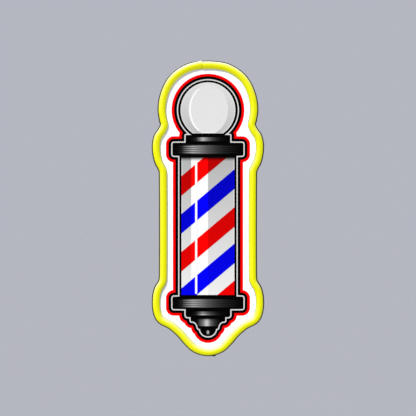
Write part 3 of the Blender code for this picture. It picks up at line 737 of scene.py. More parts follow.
# %% Tray
RIM_OUT = 5.5 * MM
RIM_IN = 4.3 * MM
LEDGE = 17.2 * MM
INNER_OUT = 5.7 * MM
FLOOR = (11.0 * MM, 12.6 * MM)
TRAY_EASES = (0.35, 0.5, 0.4, 0.3, 0.3, 0.3, 0.3, 0.3, 0.5, 0.3)
BOSS = {"radius": 3.2 * MM, "back": 3.3 * MM, "front": 11.8 * MM}
PILOT = {"radius": 1.65 * MM, "back": 0.0, "front": 10.0 * MM}
LEAD_HOLE = {"radius": 1.0 * MM, "back": 10.0 * MM, "front": 13.6 * MM, "steps": 24}
LEAD_SPOTS = ((-12 * MM, 171 * MM), (-2 * MM, 171.8 * MM))
BOTTOM_WALL = -178 * MM
HOLE_LENGTH = 12 * MM
PORT_HOLE = (9.94 * MM, 4.26 * MM)
BUTTON_HOLE_RADIUS = 2.7 * MM

cover_screws = [name for name in nodes if name.startswith("cover_screw")]
screw_spots = []
for name in cover_screws:
    low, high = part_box(name)
    screw_spots.append(((low.x + high.x) / 2, (low.z + high.z) / 2))

corners = [
    (RIM_OUT, SKIRT[0]), (RIM_OUT, SKIRT[1]), (RIM_IN, SKIRT[1]), (RIM_IN, FLOOR[1]), (-RIM_IN, FLOOR[1]),
    (-RIM_IN, LEDGE), (-INNER_OUT, LEDGE), (-INNER_OUT, FLOOR[0]), (RIM_IN, FLOOR[0]), (RIM_IN, SKIRT[0]),
]
tray = carried(route, eased(corners, [ease * MM for ease in TRAY_EASES]), black_plastic)
port_hole = plate([capsule(*PORT_HOLE)], HOLE_LENGTH)
port_hole = moved(port_hole, (inlet.x, BOTTOM_WALL, -inlet.y), upright=True)
button_hole = rod(BUTTON_HOLE_RADIUS, -HOLE_LENGTH / 2, HOLE_LENGTH / 2, 48)
button_hole = moved(button_hole, (button.x, BOTTOM_WALL, -button.y), upright=True)
tray = carved(tray, [copies(rod(**BOSS), screw_spots)], "UNION")
holes = [copies(rod(**PILOT), screw_spots), port_hole, button_hole, copies(rod(**LEAD_HOLE), LEAD_SPOTS)]
tray = carved(tray, holes)
finished("tray", tray, black_plastic, ["housing"], sharp=10)

# %% [markdown]
# ## The face
#
# The face is opal acrylic: white, smooth and lit from behind, with edges polished by the laser that cut
# it. Its glow is even, with a very faint cloudiness so that it doesn't look like paper. It is a plate of
# the route moved inwards, held in the tray's ledge.

# %% Opal acrylic and the face
PANEL = (17.5 * MM, 20.5 * MM)
PANEL_INSIDE_ROUTE = 4.45 * MM
PANEL_ROUNDING = 0.2 * MM
OPAL_RETURNS = (RETURNED + 0.2,) * 3 + (1.0,)


def opal():
    finish = Finish("opal_acrylic")
    cloud = finish.ranged(finish.noise(25.0, 3.0), 0.35, 0.65)
    colour = finish.mix(cloud, seen(241, 243, 255), seen(245, 247, 255))
    grain = finish.ranged(finish.noise(600.0), 0.3, 0.7, 0.24, 0.3)
    return lit_from_behind(finish, colour, OPAL_RETURNS, grain, 0.4)


panel = plate([moved_out(route, -PANEL_INSIDE_ROUTE)], PANEL[1] - PANEL[0], PANEL_ROUNDING)
panel = moved(panel, (0.0, 0.0, sum(PANEL) / 2))
finished("opal_face", panel, opal(), ["face_panel"], sharp=12)

# %% [markdown]
# ## The pole's outline
#
# The films' edges all come from one formula. The pole is a stack of simple shapes seen from in front: two
# discs, several bars with rounded corners, and a row of small discs that follows the ogee's hollow side.
# Grown all round by a distance, each shape is still a disc or a bar with rounder corners, and the
# outline's half width at a height is the widest of them there. So the black, silver and red edges stay
# parallel, as a plotter would cut them.

# %% Outline formula
# The two discs: the height of the middle, and the radius.
GLOBE = (117.9 * MM, 35.4 * MM)
BALL = (-144.2 * MM, 9.3 * MM)
# Each bar: half its width, its bottom, its top, and the radius of its corners.
BARS = (
    (26.4 * MM, 75.0 * MM, 87.7 * MM, 0.6 * MM),
    (42.2 * MM, 63.5 * MM, 78.3 * MM, 1.4 * MM),
    (33.85 * MM, -110.0 * MM, 66.0 * MM, 0.4 * MM),
    (42.2 * MM, -120.8 * MM, -106.6 * MM, 1.4 * MM),
    (26.4 * MM, -130.5 * MM, -117.0 * MM, 2.2 * MM),
    (20.4 * MM, -135.8 * MM, -127.0 * MM, 1.0 * MM),
)
# The ogee's hollow side as (x, height) points, in millimetres.
COVE = (
    (20.4, -134.9), (17.2, -135.6), (15.2, -136.8), (13.6, -138.6), (12.4, -141.0), (11.8, -143.8),
    (9.6, -144.5),
)
PEN = 0.4 * MM
DISCS_A_STEP = 10
FINE = 0.2 * MM
OUTLINE_TOLERANCE = 0.01 * MM


def stroke_discs(points, radius, steps):
    """Small discs along a line of points, just inside it, as (middle, height, radius)."""
    discs = []
    for start, end in zip(points, points[1:]):
        for i in range(steps):
            x, height = (Vector(start).lerp(Vector(end), i / steps)) * MM
            discs.append((x - radius, height, radius))
    return discs


DISCS = [(0.0, *GLOBE), (0.0, *BALL)] + stroke_discs(COVE, PEN, DISCS_A_STEP)


def half_width(height, grow):
    """Half the width of the outline at one height, grown all round."""
    widest = 0.0
    for middle, centre, radius in DISCS:
        reach = radius + grow
        if abs(height - centre) < reach:
            widest = max(widest, middle + math.sqrt(reach**2 - (height - centre) ** 2))
    for half, bottom, top, corner in BARS:
        past = max(bottom + corner - height, height - top + corner, 0.0)
        reach = corner + grow
        if past < reach:
            widest = max(widest, half - corner + math.sqrt(reach**2 - past**2))
    return widest


def thinned(points, tolerance):
    """The points that a line needs to stay within the tolerance of all of them."""
    first, last = Vector(points[0]), Vector(points[-1])
    chord = (last - first).normalized()
    offsets = [abs((Vector(p) - first).cross(chord)) for p in points]
    far = max(range(len(points)), key=offsets.__getitem__)
    if offsets[far] <= tolerance:
        return [points[0], points[-1]]
    return thinned(points[: far + 1], tolerance)[:-1] + thinned(points[far:], tolerance)


def silhouette(grow):
    """The pole's outline grown all round, with more points towards its round top and bottom."""
    top = GLOBE[0] + GLOBE[1] + grow
    bottom = BALL[0] - BALL[1] - grow
    count = round((top - bottom) / FINE)
    spread = [(1 - math.cos(math.pi * i / count)) / 2 for i in range(1, count)]
    even = [i / count for i in range(1, count)]
    heights = sorted((top + (bottom - top) * share for share in spread + even), reverse=True)
    side = [(0.0, top)] + [(half_width(height, grow), height) for height in heights] + [(0.0, bottom)]
    right = thinned(side, OUTLINE_TOLERANCE)
    return right + [(-x, height) for x, height in right[-2:0:-1]]


print("points in the plain outline:", len(silhouette(0.0)))

# %% [markdown]
# ## Laying the films
#
# Cut films are thin, and the colours lie edge to edge on the panel or one on another. Each is a thin
# plate of its true outline, because one painted picture would lose its crisp edges close up. A few
# hundredths of a millimetre separate the layers, which keeps them from flickering.

# %% Film layers
FILM = 0.09 * MM
FIRST_LAYER = 0.06
LAYER_STEP = 0.15
LAYERS = [PANEL[1] + (FIRST_LAYER + LAYER_STEP * layer) * MM for layer in range(4)]
# Each line round the pole: its inner and outer distance from the outline, and its colour.
BORDER = {
    "silver_line": (0.5, 1.9, "silver"),
    "black_border": (1.9, 5.2, "black"),
    "red_border": (5.2, 8.3, "red"),
}


def lay(name, outlines, layer, material, slot, stands_for):
    """A film of the given outlines on one of the layers."""
    mesh = moved(plate(outlines, FILM), (0.0, 0.0, LAYERS[layer] + FILM / 2))
    return finished(name, mesh, material, stands_for, smooth=False)


for name, (inner, outer, colour) in BORDER.items():
    outlines = [silhouette(outer * MM), silhouette(inner * MM)]
    lay(name + "_film", outlines, 0, film_finish[colour], "film_" + colour, [name])
pole = silhouette(BORDER["silver_line"][0] * MM)
lay("pole_black_film", [pole], 0, film_finish["black"], "film_black", ["pole_silhouette"])

# %% [markdown]
# ## The globe
#
# The picture's globe is frosted white with a paler lens in the middle, darker crescents at its sides that
# deepen towards the bottom, a light rim just inside the black, and one thin crescent of highlight. The
# soft parts are sums on the place in the film, and what has a crisp edge is a film of its own.

# %% Globe films
# Places used inside a finish, and the two feet, are in millimetres.
GLOBE_CENTRE = GLOBE[0] / MM
GLOBE_SIZE = (32.95 * MM, 33.4 * MM)
GLOBE_FOOT = 89.9
LENS_CENTRE = (0.4 * MM, 118.7 * MM)
LENS_SIZE = (23.8 * MM, 30.2 * MM)
LENS_FOOT = GLOBE_FOOT + 0.3
HIGHLIGHT_CENTRE = (9.0 * MM, 118.3 * MM)
HIGHLIGHT_OUTER = (31.7 * MM, 33.3 * MM)
HIGHLIGHT_INNER = (29.3 * MM, 32.5 * MM)
HIGHLIGHT_ENDS = (130.0, 230.0)


def globe_paint(finish):
    x, height = finish.place()[:2]
    up = height - GLOBE_CENTRE
    radius = finish.math("SQRT", x * x + up * up)
    shade = finish.ranged(height, 90.0, 140.0)
    crescent = finish.mix(shade, seen(192), seen(221))
    rim = finish.ranged(radius, 31.2, 32.4)
    return finish.mix(rim * 0.45, crescent, seen(245))


def lens_paint(finish):
    height = finish.place()[1]
    foot = finish.ranged(height, 91.8, 91.0)
    return finish.mix(foot, seen(229), seen(245))


def segment(centre, radii, foot, steps):
    """An ellipse with its bottom cut off flat."""
    drop = math.degrees(math.asin(min((centre[1] - foot) / radii[1], 1.0)))
    return arc(centre, radii, -drop, 180 + drop, steps)


globe = segment((0.0, GLOBE[0]), GLOBE_SIZE, GLOBE_FOOT * MM, 160)
lay("globe_shaded_film", [globe], 1, lit_film("globe_film", globe_paint), "film_grey", ["globe_film"])
lens = segment(LENS_CENTRE, LENS_SIZE, LENS_FOOT * MM, 120)
lay("globe_lens", [lens], 2, lit_film("globe_lens_film", lens_paint), "film_white", ["globe_lens_film"])
outer = arc(HIGHLIGHT_CENTRE, HIGHLIGHT_OUTER, *HIGHLIGHT_ENDS, 60)
inner = arc(HIGHLIGHT_CENTRE, HIGHLIGHT_INNER, *reversed(HIGHLIGHT_ENDS), 60)
lay("globe_highlight", [outer + inner], 3, film_finish["white"], "film_white", ["globe_highlight_film"])

# %% [markdown]
# ## The shaft and its stripes
#
# The shaft's shading is drawn on every film of it alike: a dark column at the left, a lit column, and a
# wide dark column at the right, both weakening towards the bottom. A soft shadow falls under the cap. So
# one function gives the shade, and each film multiplies its own colour by it, which keeps the columns in
# line across the stripes.

# %% Shaft finishes
# The shaft: half its width, its bottom and its top, in millimetres.
SHAFT = (31.8, -104.2, 61.3)
LIT_COLUMN = (-20.2, 0.1)
EDGE_STRIP = 30.7
CAP_SHADOW = (SHAFT[2] - 4.8, SHAFT[2] - 0.6)


def shaft_shade(finish):
    x, height = finish.place()[:2]
    left = finish.math("LESS_THAN", x, LIT_COLUMN[0])
    right = finish.math("GREATER_THAN", x, LIT_COLUMN[1])
    edge = finish.math("GREATER_THAN", finish.math("ABSOLUTE", x), EDGE_STRIP)
    dark = finish.ranged(height, SHAFT[1], SHAFT[2], 0.13, 0.54) * (1 - edge * 0.35)
    under_cap = finish.math("POWER", finish.ranged(height, *CAP_SHADOW), 1.15)
    return (1 - (left + right) * dark) * (1 - under_cap * 0.97)


def shaft_paint(colour):
    def paint(finish):
        return finish.mix(1.0, colour, finish.grey(shaft_shade(finish)), "MULTIPLY")
    return paint


shaft_finish = {
    "white": lit_film("shaft_white", shaft_paint(seen(255))),
    "red": lit_film("shaft_red", shaft_paint(seen(255, 0, 0))),
    "blue": lit_film("shaft_blue", shaft_paint(seen(0, 0, 255))),
}
print("shaft finishes:", *shaft_finish)

# %% [markdown]
# ## Stripes
#
# The stripes rise to the right. Each is a slanting band cut to the shaft with Bisect, which leaves
# exactly the corners that it needs. The bar of highlight is drawn over them all.

# %% Stripes and the bar of highlight
STRIPE_SLOPE = 0.843
STRIPE_HEIGHT = 23.5
STRIPE_TOPS = {
    "red_stripe_upper": 65.4,
    "blue_stripe_upper": 20.0,
    "red_stripe_middle": -25.6,
    "blue_stripe_lower": -69.3,
    "red_stripe_lower": -113.7,
}


def clipped_stripe(top_at_middle):
    """A slanting band cut to the shaft's film."""
    half, bottom, top = (size * MM for size in SHAFT)
    work = bmesh.new()
    ends = ((-1, STRIPE_HEIGHT), (1, STRIPE_HEIGHT), (1, 0.0), (-1, 0.0))
    rise = half * STRIPE_SLOPE
    for side, drop in ends:
        work.verts.new((side * half, (top_at_middle - drop) * MM + side * rise, 0.0))
    work.faces.new(work.verts)
    for edge, side in ((top, 1), (bottom, -1)):
        cut = {"plane_co": (0, edge, 0), "plane_no": (0, side, 0), "clear_outer": True}
        bmesh.ops.bisect_plane(work, geom=work.verts[:] + work.edges[:] + work.faces[:], **cut)
    work.faces.ensure_lookup_table()
    outline = [(loop.vert.co.x, loop.vert.co.y) for loop in work.faces[0].loops]
    work.free()
    return outline


half, bottom, top = (size * MM for size in SHAFT)
shaft = rectangle((-half, bottom), (half, top))
lay("shaft_white_film", [shaft], 1, shaft_finish["white"], "film_white", ["shaft_film"])
for name, height in STRIPE_TOPS.items():
    colour = name.split("_")[0]
    lay(name + "_film", [clipped_stripe(height)], 2, shaft_finish[colour], "film_" + colour, [name])
bar_left, bar_right = -15.4 * MM, -12.9 * MM
bar_top, bar_bottom = 61.3 * MM, -102.9 * MM
round_end = arc((-14.15 * MM, bar_bottom + 1.2 * MM), 1.25 * MM, 180, 360, 12)
bar = [(bar_left, bar_top), *round_end, (bar_right, bar_top)]
bar_finish = lit_film("shaft_highlight", shaft_paint(seen(255)))
lay("shaft_highlight", [bar], 3, bar_finish, "film_white", ["shaft_highlight_film"])

# %% [markdown]
# ## The metal's sheen
#
# The cap, the collars, the band and the ogee are drawn as polished black metal: a soft patch of light
# left of the middle that fades to black at both sides, crossed by fine level streaks. Each patch is a
# film whose colour is a ramp across it, times a cosine ripple up it. A ramp and a cosine need no picture,
# and stay sharp close up.

# %% Sheen finishes
# Each list of stops gives a place across the patch, 0 to 1, and the screen grey there.
STREAK = 2.4
STREAK_MIDDLE = 3.0
STREAK_FADE = (9.0, 25.0)
CAP_STOPS = (
    (0.0, 0), (0.06, 6), (0.12, 30), (0.208, 110), (0.281, 143), (0.354, 128), (0.427, 105), (0.5, 80),
    (0.574, 62), (0.647, 45), (0.72, 32), (0.794, 22), (0.9, 9), (1.0, 0),
)
COLLAR_STOPS = (
    (0.0, 0), (0.1, 6), (0.2, 36), (0.3, 125), (0.34, 172), (0.39, 170), (0.43, 148), (0.5, 110), (0.59, 73),
    (0.68, 45), (0.76, 25), (0.85, 8), (1.0, 0),
)
OGEE_STOPS = (
    (0.0, 0), (0.08, 22), (0.219, 93), (0.288, 118), (0.358, 160), (0.427, 202), (0.46, 200), (0.5, 182),
    (0.566, 132), (0.635, 92), (0.774, 46), (0.913, 20), (1.0, 0),
)


def sheen(name, low, high, stops, streaks, first_streak, rise):
    """A patch whose light is a ramp across it, times streaks that are stronger away from the middle."""
    def paint(finish):
        x, height = finish.place()[:2]
        across = (x - low[0]) / (high[0] - low[0])
        light = finish.ramp(across, [(place, seen(value)) for place, value in stops])
        wave = finish.math("COSINE", (height - first_streak) * (2 * math.pi / STREAK))
        off_middle = finish.math("ABSOLUTE", x - STREAK_MIDDLE)
        away = finish.ranged(off_middle, *STREAK_FADE, streaks / 8, streaks)
        level = (1 + wave * away) * finish.ranged(height, *rise)
        return finish.mix(1.0, light, finish.grey(level), "MULTIPLY")
    return lit_film(name + "_finish", paint)


def ogee_outline(low, high):
    """The ogee's patch, whose sides run a little inside its hollow sides."""
    side = [(x - 1.2, height) for x, height in COVE[2:5]]
    shoulder = [(high[0], high[1]), (high[0], side[0][1] + 0.6)]
    side = shoulder + side + [(side[-1][0] - 0.1, low[1])]
    return side + [(-x, height) for x, height in reversed(side)]


# Each patch: its corners, its ramp, the strength and place of its streaks, and how its light rises up it.
PATCHES = {
    "top_collar_sheen": ((-23.0, 80.7), (23.0, 85.2), COLLAR_STOPS, 0.25, 83.7, (79.0, 80.0, 1.0, 1.0)),
    "cap_sheen": ((-41.0, 65.4), (40.9, 75.8), CAP_STOPS, 0.78, 74.1, (64.0, 65.0, 1.0, 1.0)),
    "band_sheen": ((-41.0, -119.4), (40.9, -109.2), CAP_STOPS, 0.78, -110.7, (-122.0, -121.0, 1.0, 1.0)),
    "bottom_collar_sheen": (
        (-23.0, -128.6), (23.0, -124.1), COLLAR_STOPS, 0.5, -127.5, (-127.4, -126.4, 1.0, 0.46),
    ),
    "ogee_sheen": ((-14.3, -141.6), (14.5, -133.0), OGEE_STOPS, 0.2, -140.7, (-135.8, -133.0, 1.0, 0.36)),
}
for name, (low, high, *look) in PATCHES.items():
    outline = ogee_outline(low, high) if name == "ogee_sheen" else rectangle(low, high)
    outline = [(x * MM, height * MM) for x, height in outline]
    lay(name, [outline], 1, sheen(name, low, high, *look), "film_grey", [name + "_film"])

# %% [markdown]
# ## The ball's spark
#
# The small ball at the pole's foot has one soft spot of light. It is a small oval film, and its colour is
# a ramp on the distance from its middle, so that it melts into the black round it.

# %% Spark
SPARK_HEIGHT = -149.1
SPARK_SIZE = (2.3, 3.1)


def spark_paint(finish):
    x, height = finish.place()[:2]
    up = (height - SPARK_HEIGHT) * (SPARK_SIZE[0] / SPARK_SIZE[1])
    away = finish.math("SQRT", x * x + up * up)
    stops = [(0.0, seen(172)), (0.45, seen(166)), (0.75, seen(90)), (1.0, seen(12))]
    return finish.ramp(finish.ranged(away, 0.0, SPARK_SIZE[0]), stops)


spark = arc((0.0, SPARK_HEIGHT * MM), tuple(size * MM for size in SPARK_SIZE), 0, 350, 35)
spark_finish = lit_film("ball_spark_finish", spark_paint)
lay("ball_spark", [spark], 1, spark_finish, "film_grey", ["ball_sheen_film"])

# %% [markdown]
# ## Bare metal
#
# Steel that is rolled or turned keeps fine scratches in one direction. Noise that is stretched along that
# direction makes them, and drives both the roughness and a small bump. Anisotropy could stretch the
# highlights too, but it would be lost when the finish is baked.

# %% Metals
def metal(name, colour, roughness, stretch, scale=900.0):
    """Brushed or turned metal. stretch is how much finer the scratches are along x, y and z."""
    finish = Finish(name)
    stretched = finish.node("ShaderNodeVectorMath", {"operation": "MULTIPLY"}, {0: finish.spot(), 1: stretch})
    lines = finish.node("ShaderNodeTexNoise", None, {"Vector": stretched, "Scale": scale, "Detail": 3.0})
    shade = finish.ranged(lines, 0.3, 0.7)
    finish.set(
        Base_Color=finish.mix(shade, scaled(colour, 0.8), colour),
        Metallic=1.0,
        Roughness=finish.ranged(lines, 0.3, 0.7, roughness - 0.05, roughness + 0.08),
    )
    return finish.bump(lines, 0.15, 0.02 * MM).material


brushed_steel = metal("brushed_steel", seen(196, 197, 199), 0.3, (0.05, 1.0, 1.0))
plated_steel = metal("plated_steel", seen(206, 206, 204), 0.24, (1.0, 1.0, 0.06))
black_oxide = metal("black_oxide", seen(74, 74, 78), 0.36, (1.0, 1.0, 1.0), 1400.0)
gold_plate = metal("gold_plate", seen(230, 190, 110), 0.22, (1.0, 1.0, 0.1))
print("metals:", brushed_steel.name, plated_steel.name, black_oxide.name, gold_plate.name)

# %% [markdown]
# ## The rear cover
#
# The cover is a flat moulding with eased edges, two openings over the keyholes and six countersunk screw
# holes. The openings belong to its outline, so they get the same eased edge, and a turned cutter makes
# each countersink.

# %% Cover
COVER = (0.0, 3.0 * MM)
COVER_OUTSIDE_ROUTE = 3.9 * MM
COVER_ROUNDING = 0.3 * MM
KEYHOLE = {"x": 32.0 * MM, "height": 70.0 * MM, "head": 4.5 * MM, "slot": 2.3 * MM, "rise": 9.0 * MM}
OPENING = 5.4 * MM
SINK = ((0.0, 4.0), (1.65, 4.0), (1.65, 1.8), (3.1, 0.4), (3.1, -1.0), (0.0, -1.0))


def opening(side):
    """The opening over one keyhole: a slot with round ends."""
    x, height = side * KEYHOLE["x"], KEYHOLE["height"]
    lower = arc((x, height), OPENING, -180, 0, 24)
    return lower + arc((x, height + KEYHOLE["rise"]), OPENING, 0, 180, 24)


cover_edge = moved_out(route, COVER_OUTSIDE_ROUTE)
cover = plate([cover_edge, opening(-1), opening(1)], COVER[1] - COVER[0], COVER_ROUNDING)
cover = moved(cover, (0.0, 0.0, sum(COVER) / 2))
sink = lathed([(radius * MM, depth * MM) for radius, depth in SINK])
cover = carved(cover, [copies(sink, screw_spots)])
finished("rear_cover_shell", cover, black_plastic, ["rear_cover"], sharp=12)

# %% [markdown]
# ## The cover's screws
#
# Each screw is turned, with a countersunk head, a thread and a cross recess. The screws are alike, so one
# is made and Geometry Nodes puts a copy on each of six points, turned by a random angle, because screws
# never stop at the same angle. The seed is fixed, so every run gives the same angles.

# %% Screw tree
MOST_TURN = 3.0
SEED = 5
graph, given = new_geometry_tree("screws_on_points", {"Screw": "Object", "Finish": "Material"})
screw = graph.node("GeometryNodeObjectInfo", None, {"Object": given.also("Screw")}, "Geometry")
spin = graph.node("FunctionNodeRandomValue", {"data_type": "FLOAT"}, {2: 0.0, 3: MOST_TURN, "Seed": SEED}, 1)
turn = graph.node("ShaderNodeCombineXYZ", None, {"Z": spin})
sockets = {"Points": given, "Instance": screw, "Rotation": turn}
placed = graph.node("GeometryNodeInstanceOnPoints", None, sockets)
screws_on_points = close_tree(graph, placed, given.also("Finish"))

# %% [markdown]
# ## One screw
#
# The profile runs from the tip down the thread to the head, and Screw turns it. The thread is drawn as
# rings rather than a true helix, which can't be told apart at this size. Two tapered boxes cut the cross
# recess.

# %% Screw
SCREW_TIP = ((0.0, 9.2), (0.7, 9.2))
SCREW_HEAD = ((2.8, 0.16), (2.8, 0.04), (2.74, 0.0), (0.0, 0.0))
CORE = 1.2 * MM
THREAD = (2.6 * MM, 8.0 * MM)
NECK = 1.64 * MM
PITCH = 0.9 * MM
THREAD_HEIGHT = 0.14 * MM
RECESS_DEEP, RECESS_ARM, RECESS_WIDE = 0.9 * MM, 1.5 * MM, 0.35 * MM
SCREW_PROUD = 0.1 * MM


def cross_cutter():
    """A cross recess that narrows as it goes in."""
    arms = []
    for wide, long in ((RECESS_WIDE, RECESS_ARM), (RECESS_ARM, RECESS_WIDE)):
        work = bmesh.new()
        bmesh.ops.create_cube(work, size=1.0)
        for vertex in work.verts:
            deep = vertex.co.z > 0
            taper = 0.45 if deep else 1.05
            vertex.co.x *= 2 * wide * taper
            vertex.co.y *= 2 * long * taper
            vertex.co.z = RECESS_DEEP if deep else -0.1 * MM
        arms.append(mesh_from(work))
    return arms


def threads(low, high):
    """The outline of the screw's thread between two heights, from the top down."""
    rows = []
    for turn in range(round((high - low) / PITCH)):
        top = high - turn * PITCH
        rows += [(CORE, top), (CORE + THREAD_HEIGHT, top - PITCH * 0.5), (CORE, top - PITCH)]
    return rows


def in_millimetres(pairs):
    return [(radius * MM, height * MM) for radius, height in pairs]


profile = in_millimetres(SCREW_TIP) + threads(*THREAD) + [(CORE, NECK)] + in_millimetres(SCREW_HEAD)
screw_object = scratch("screw", carved(lathed(profile, 40), cross_cutter()))
points = bpy.data.meshes.new("screw_points")
points.from_pydata([(x, height, SCREW_PROUD) for x, height in screw_spots], [], [])
screws = run_tree(screws_on_points, points, Screw=screw_object, Finish=black_oxide)
bpy.data.objects.remove(screw_object)
screws.transform(STAND_UP)
finished("cover_screws", screws, black_oxide, cover_screws)

# %% [markdown]
# ## The keyhole plates
#
# The sign hangs on two wall screws, whose heads go in at the round ends and slide up the slots. The
# plastic would tear there, so stamped steel plates take the load. A stamping's edges are slightly rolled
# by the die, which the plate's small rounding shows.

# %% Keyhole plates
PLATE_CORNER = 2.0 * MM
PLATE_ROUNDING = 0.12 * MM
FIXING_HOLE = 1.3 * MM
FIXING_REACH = 15.5 * MM


def keyhole(x):
    """A round hole for the screw's head, with a slot above it for its neck."""
    lift = math.degrees(math.acos(KEYHOLE["slot"] / KEYHOLE["head"]))
    lower = arc((x, KEYHOLE["height"]), KEYHOLE["head"], 180 - lift, 360 + lift, 40)
    return lower + arc((x, KEYHOLE["height"] + KEYHOLE["rise"]), KEYHOLE["slot"], 0, 180, 16)


for side, name in ((-1, "keyhole_plate_left"), (1, "keyhole_plate_right")):
    low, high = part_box(name)
    x = side * KEYHOLE["x"]
    edge = eased(rectangle((low.x, low.z), (high.x, high.z)), PLATE_CORNER, 8)
    middle = (low.z + high.z) / 2
    holes = [arc((x, middle + end * FIXING_REACH), FIXING_HOLE, 0, 345, 23) for end in (-1, 1)]
    stamped = plate([edge, keyhole(x)] + holes, high.y - low.y, PLATE_ROUNDING)
    mesh = moved(stamped, (0.0, 0.0, -(low.y + high.y) / 2))
    hanging = name.replace("keyhole_plate", "hanging_plate")
    finished(hanging, mesh, brushed_steel, [name], sharp=12)

# %% [markdown]
# ## The inlet
#
# The low-voltage inlet in the bottom edge is a drawn steel shell with round ends, and a black tongue in
# it. The shell is a plate of a slot's outline with a smaller slot cut into it, which leaves its closed
# back.

# %% Inlet shell and tongue
SHELL_WALL = 0.35 * MM
SHELL_BACK = 1.0 * MM
shell_low, shell_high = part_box("usb_shell")
shell_size = shell_high - shell_low
shell_outer = plate([capsule(shell_size.x, shell_size.y, 16)], shell_size.z, 0.1 * MM)
pocket_outline = capsule(shell_size.x - 2 * SHELL_WALL, shell_size.y - 2 * SHELL_WALL, 16)
pocket = plate([pocket_outline], shell_size.z)
pocket.transform(Matrix.Translation((0.0, 0.0, -SHELL_BACK)))
shell = moved(carved(shell_outer, [pocket]), (inlet.x, inlet.z, -inlet.y), upright=True)
finished("inlet_shell", shell, plated_steel, ["usb_shell"])

tongue_low, tongue_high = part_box("usb_tongue")
tongue_size = tongue_high - tongue_low
tongue_at = middle_of("usb_tongue")
half_x, half_height = tongue_size.x / 2, tongue_size.z / 2
outline = eased(rectangle((-half_x, -half_height), (half_x, half_height)), [0.6 * MM, 0.6 * MM, 0.0, 0.0])
tongue = moved(plate([outline], tongue_size.y, 0.08 * MM), (tongue_at.x, tongue_at.z, -tongue_at.y))
epoxy = moulded("chip_black", seen(38, 38, 38), 0.5)
finished("inlet_tongue", tongue, epoxy, ["usb_tongue"])

# %% [markdown]
# ## The inlet's contacts
#
# A row of gold contacts lies on each side of the tongue. They are alike and evenly spaced, so one tree
# makes a row from its count, its pitch and the size of one bar.

# %% Contacts tree
CONTACTS = 12
CONTACT_PITCH = 0.5 * MM
CONTACT_SIZE = (0.28 * MM, 3.2 * MM, 0.06 * MM)
CONTACTS_PROUD = 0.01 * MM
CONTACTS_BELOW = 0.6 * MM
tree_inputs = {"Count": "Int", "Pitch": "Float", "Size": "Vector", "Finish": "Material"}
graph, given = new_geometry_tree("row_of_bars", tree_inputs)
span = given.also("Pitch") * (given.also("Count") - 1)
start = graph.node("ShaderNodeCombineXYZ", None, {"X": span * -0.5})
step = graph.node("ShaderNodeCombineXYZ", None, {"X": given.also("Pitch")})
sockets = {"Count": given.also("Count"), "Start Location": start, "Offset": step}
row = graph.node("GeometryNodeMeshLine", None, sockets)
bar_shape = graph.node("GeometryNodeMeshCube", None, {"Size": given.also("Size")})
bars = graph.node("GeometryNodeInstanceOnPoints", None, {"Points": row, "Instance": bar_shape})
row_of_bars = close_tree(graph, bars, given.also("Finish"))

values = {"Count": CONTACTS, "Pitch": CONTACT_PITCH, "Size": CONTACT_SIZE, "Finish": gold_plate}
proud = tongue_size.y / 2 + CONTACTS_PROUD
rows = []
for face in (-1, 1):
    contact_row = run_tree(row_of_bars, bpy.data.meshes.new("row"), **values)
    rows.append(moved(contact_row, (tongue_at.x, tongue_at.z - CONTACTS_BELOW, -tongue_at.y + face * proud)))
finished("inlet_contacts", joined(rows), gold_plate, smooth=False)

# %% [markdown]
# ## The power button
#
# The button beside the inlet is moulded in dark grey, with a dished face for a fingertip and a flange
# that keeps it in the tray. It is turned from its section, because every part of it is round, and it
# rides on the body that the button's joint moves.

# %% Button
STEM = 2.4 * MM
FLANGE = 0.8 * MM
FLANGE_RADIUS = 3.3 * MM
DISH = 0.25 * MM
DISH_SHARE = 0.86
button_low, button_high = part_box("power_button")
length = button_high.z - button_low.z
top = [(0.0, length), (3.24 * MM, length), (FLANGE_RADIUS, length - 0.06 * MM)]
collar = [
    (FLANGE_RADIUS, length - FLANGE + 0.06 * MM), (3.25 * MM, length - FLANGE), (2.5 * MM, length - FLANGE),
]
stem = [(STEM, length - FLANGE - 0.15 * MM), (STEM, 0.22 * MM), (2.28 * MM, 0.04 * MM)]
angles = [math.radians(90 * i / 8) for i in range(8, -1, -1)]
dish = [(STEM * math.sin(angle) * DISH_SHARE, DISH * math.cos(angle)) for angle in angles]
button_at = (button.x, button_low.z, -button.y)
cap = moved(lathed(top + collar + stem + dish, 64), button_at, upright=True)
finished("power_button_cap", cap, grey_plastic, ["power_button"], body="button", sharp=45)

# %% [markdown]
# ## What lies inside
#
# The other parts stay as the frame gives them and only need their finishes. A circuit board shows its
# copper tracks through the green mask as a slightly raised, lighter pattern, and an LED strip shows its
# pads. Voronoi cells measured along the axes give straight, stepped lines like tracks, and round ones
# give the dies.

# %% Inner finishes
def circuit(name, mask, track, scale):
    """A solder mask over copper tracks, which run in straight, stepped lines."""
    finish = Finish(name)
    settings = {"distance": "CHEBYCHEV", "feature": "F1"}
    cells = finish.node("ShaderNodeTexVoronoi", settings, {"Vector": finish.spot(), "Scale": scale})
    ring = finish.math("PINGPONG", cells * 6.0, 0.5)
    copper = finish.ranged(ring, 0.3, 0.34)
    gloss = finish.ranged(copper, 0.0, 1.0, 0.34, 0.28)
    finish.set(Base_Color=finish.mix(copper, mask, track), Roughness=gloss)
    return finish.bump(copper, 0.3, 0.03 * MM).material


def phosphor():
    """Yellow phosphor over LED dies, which show as brighter spots under it."""
    finish = Finish("phosphor")
    sockets = {"Vector": finish.spot(), "Scale": 240.0}
    dies = finish.node("ShaderNodeTexVoronoi", {"feature": "F1"}, sockets)
    glow = finish.ramp(dies, [(0.0, (1.0, 0.95, 0.6, 1.0)), (0.6, (0.9, 0.7, 0.15, 1.0))])
    gloss = finish.ranged(dies, 0.0, 0.6, 0.4, 0.6)
    finish.set(Base_Color=glow, Emission_Color=glow, Emission_Strength=1.0, Roughness=gloss)
    return finish.material


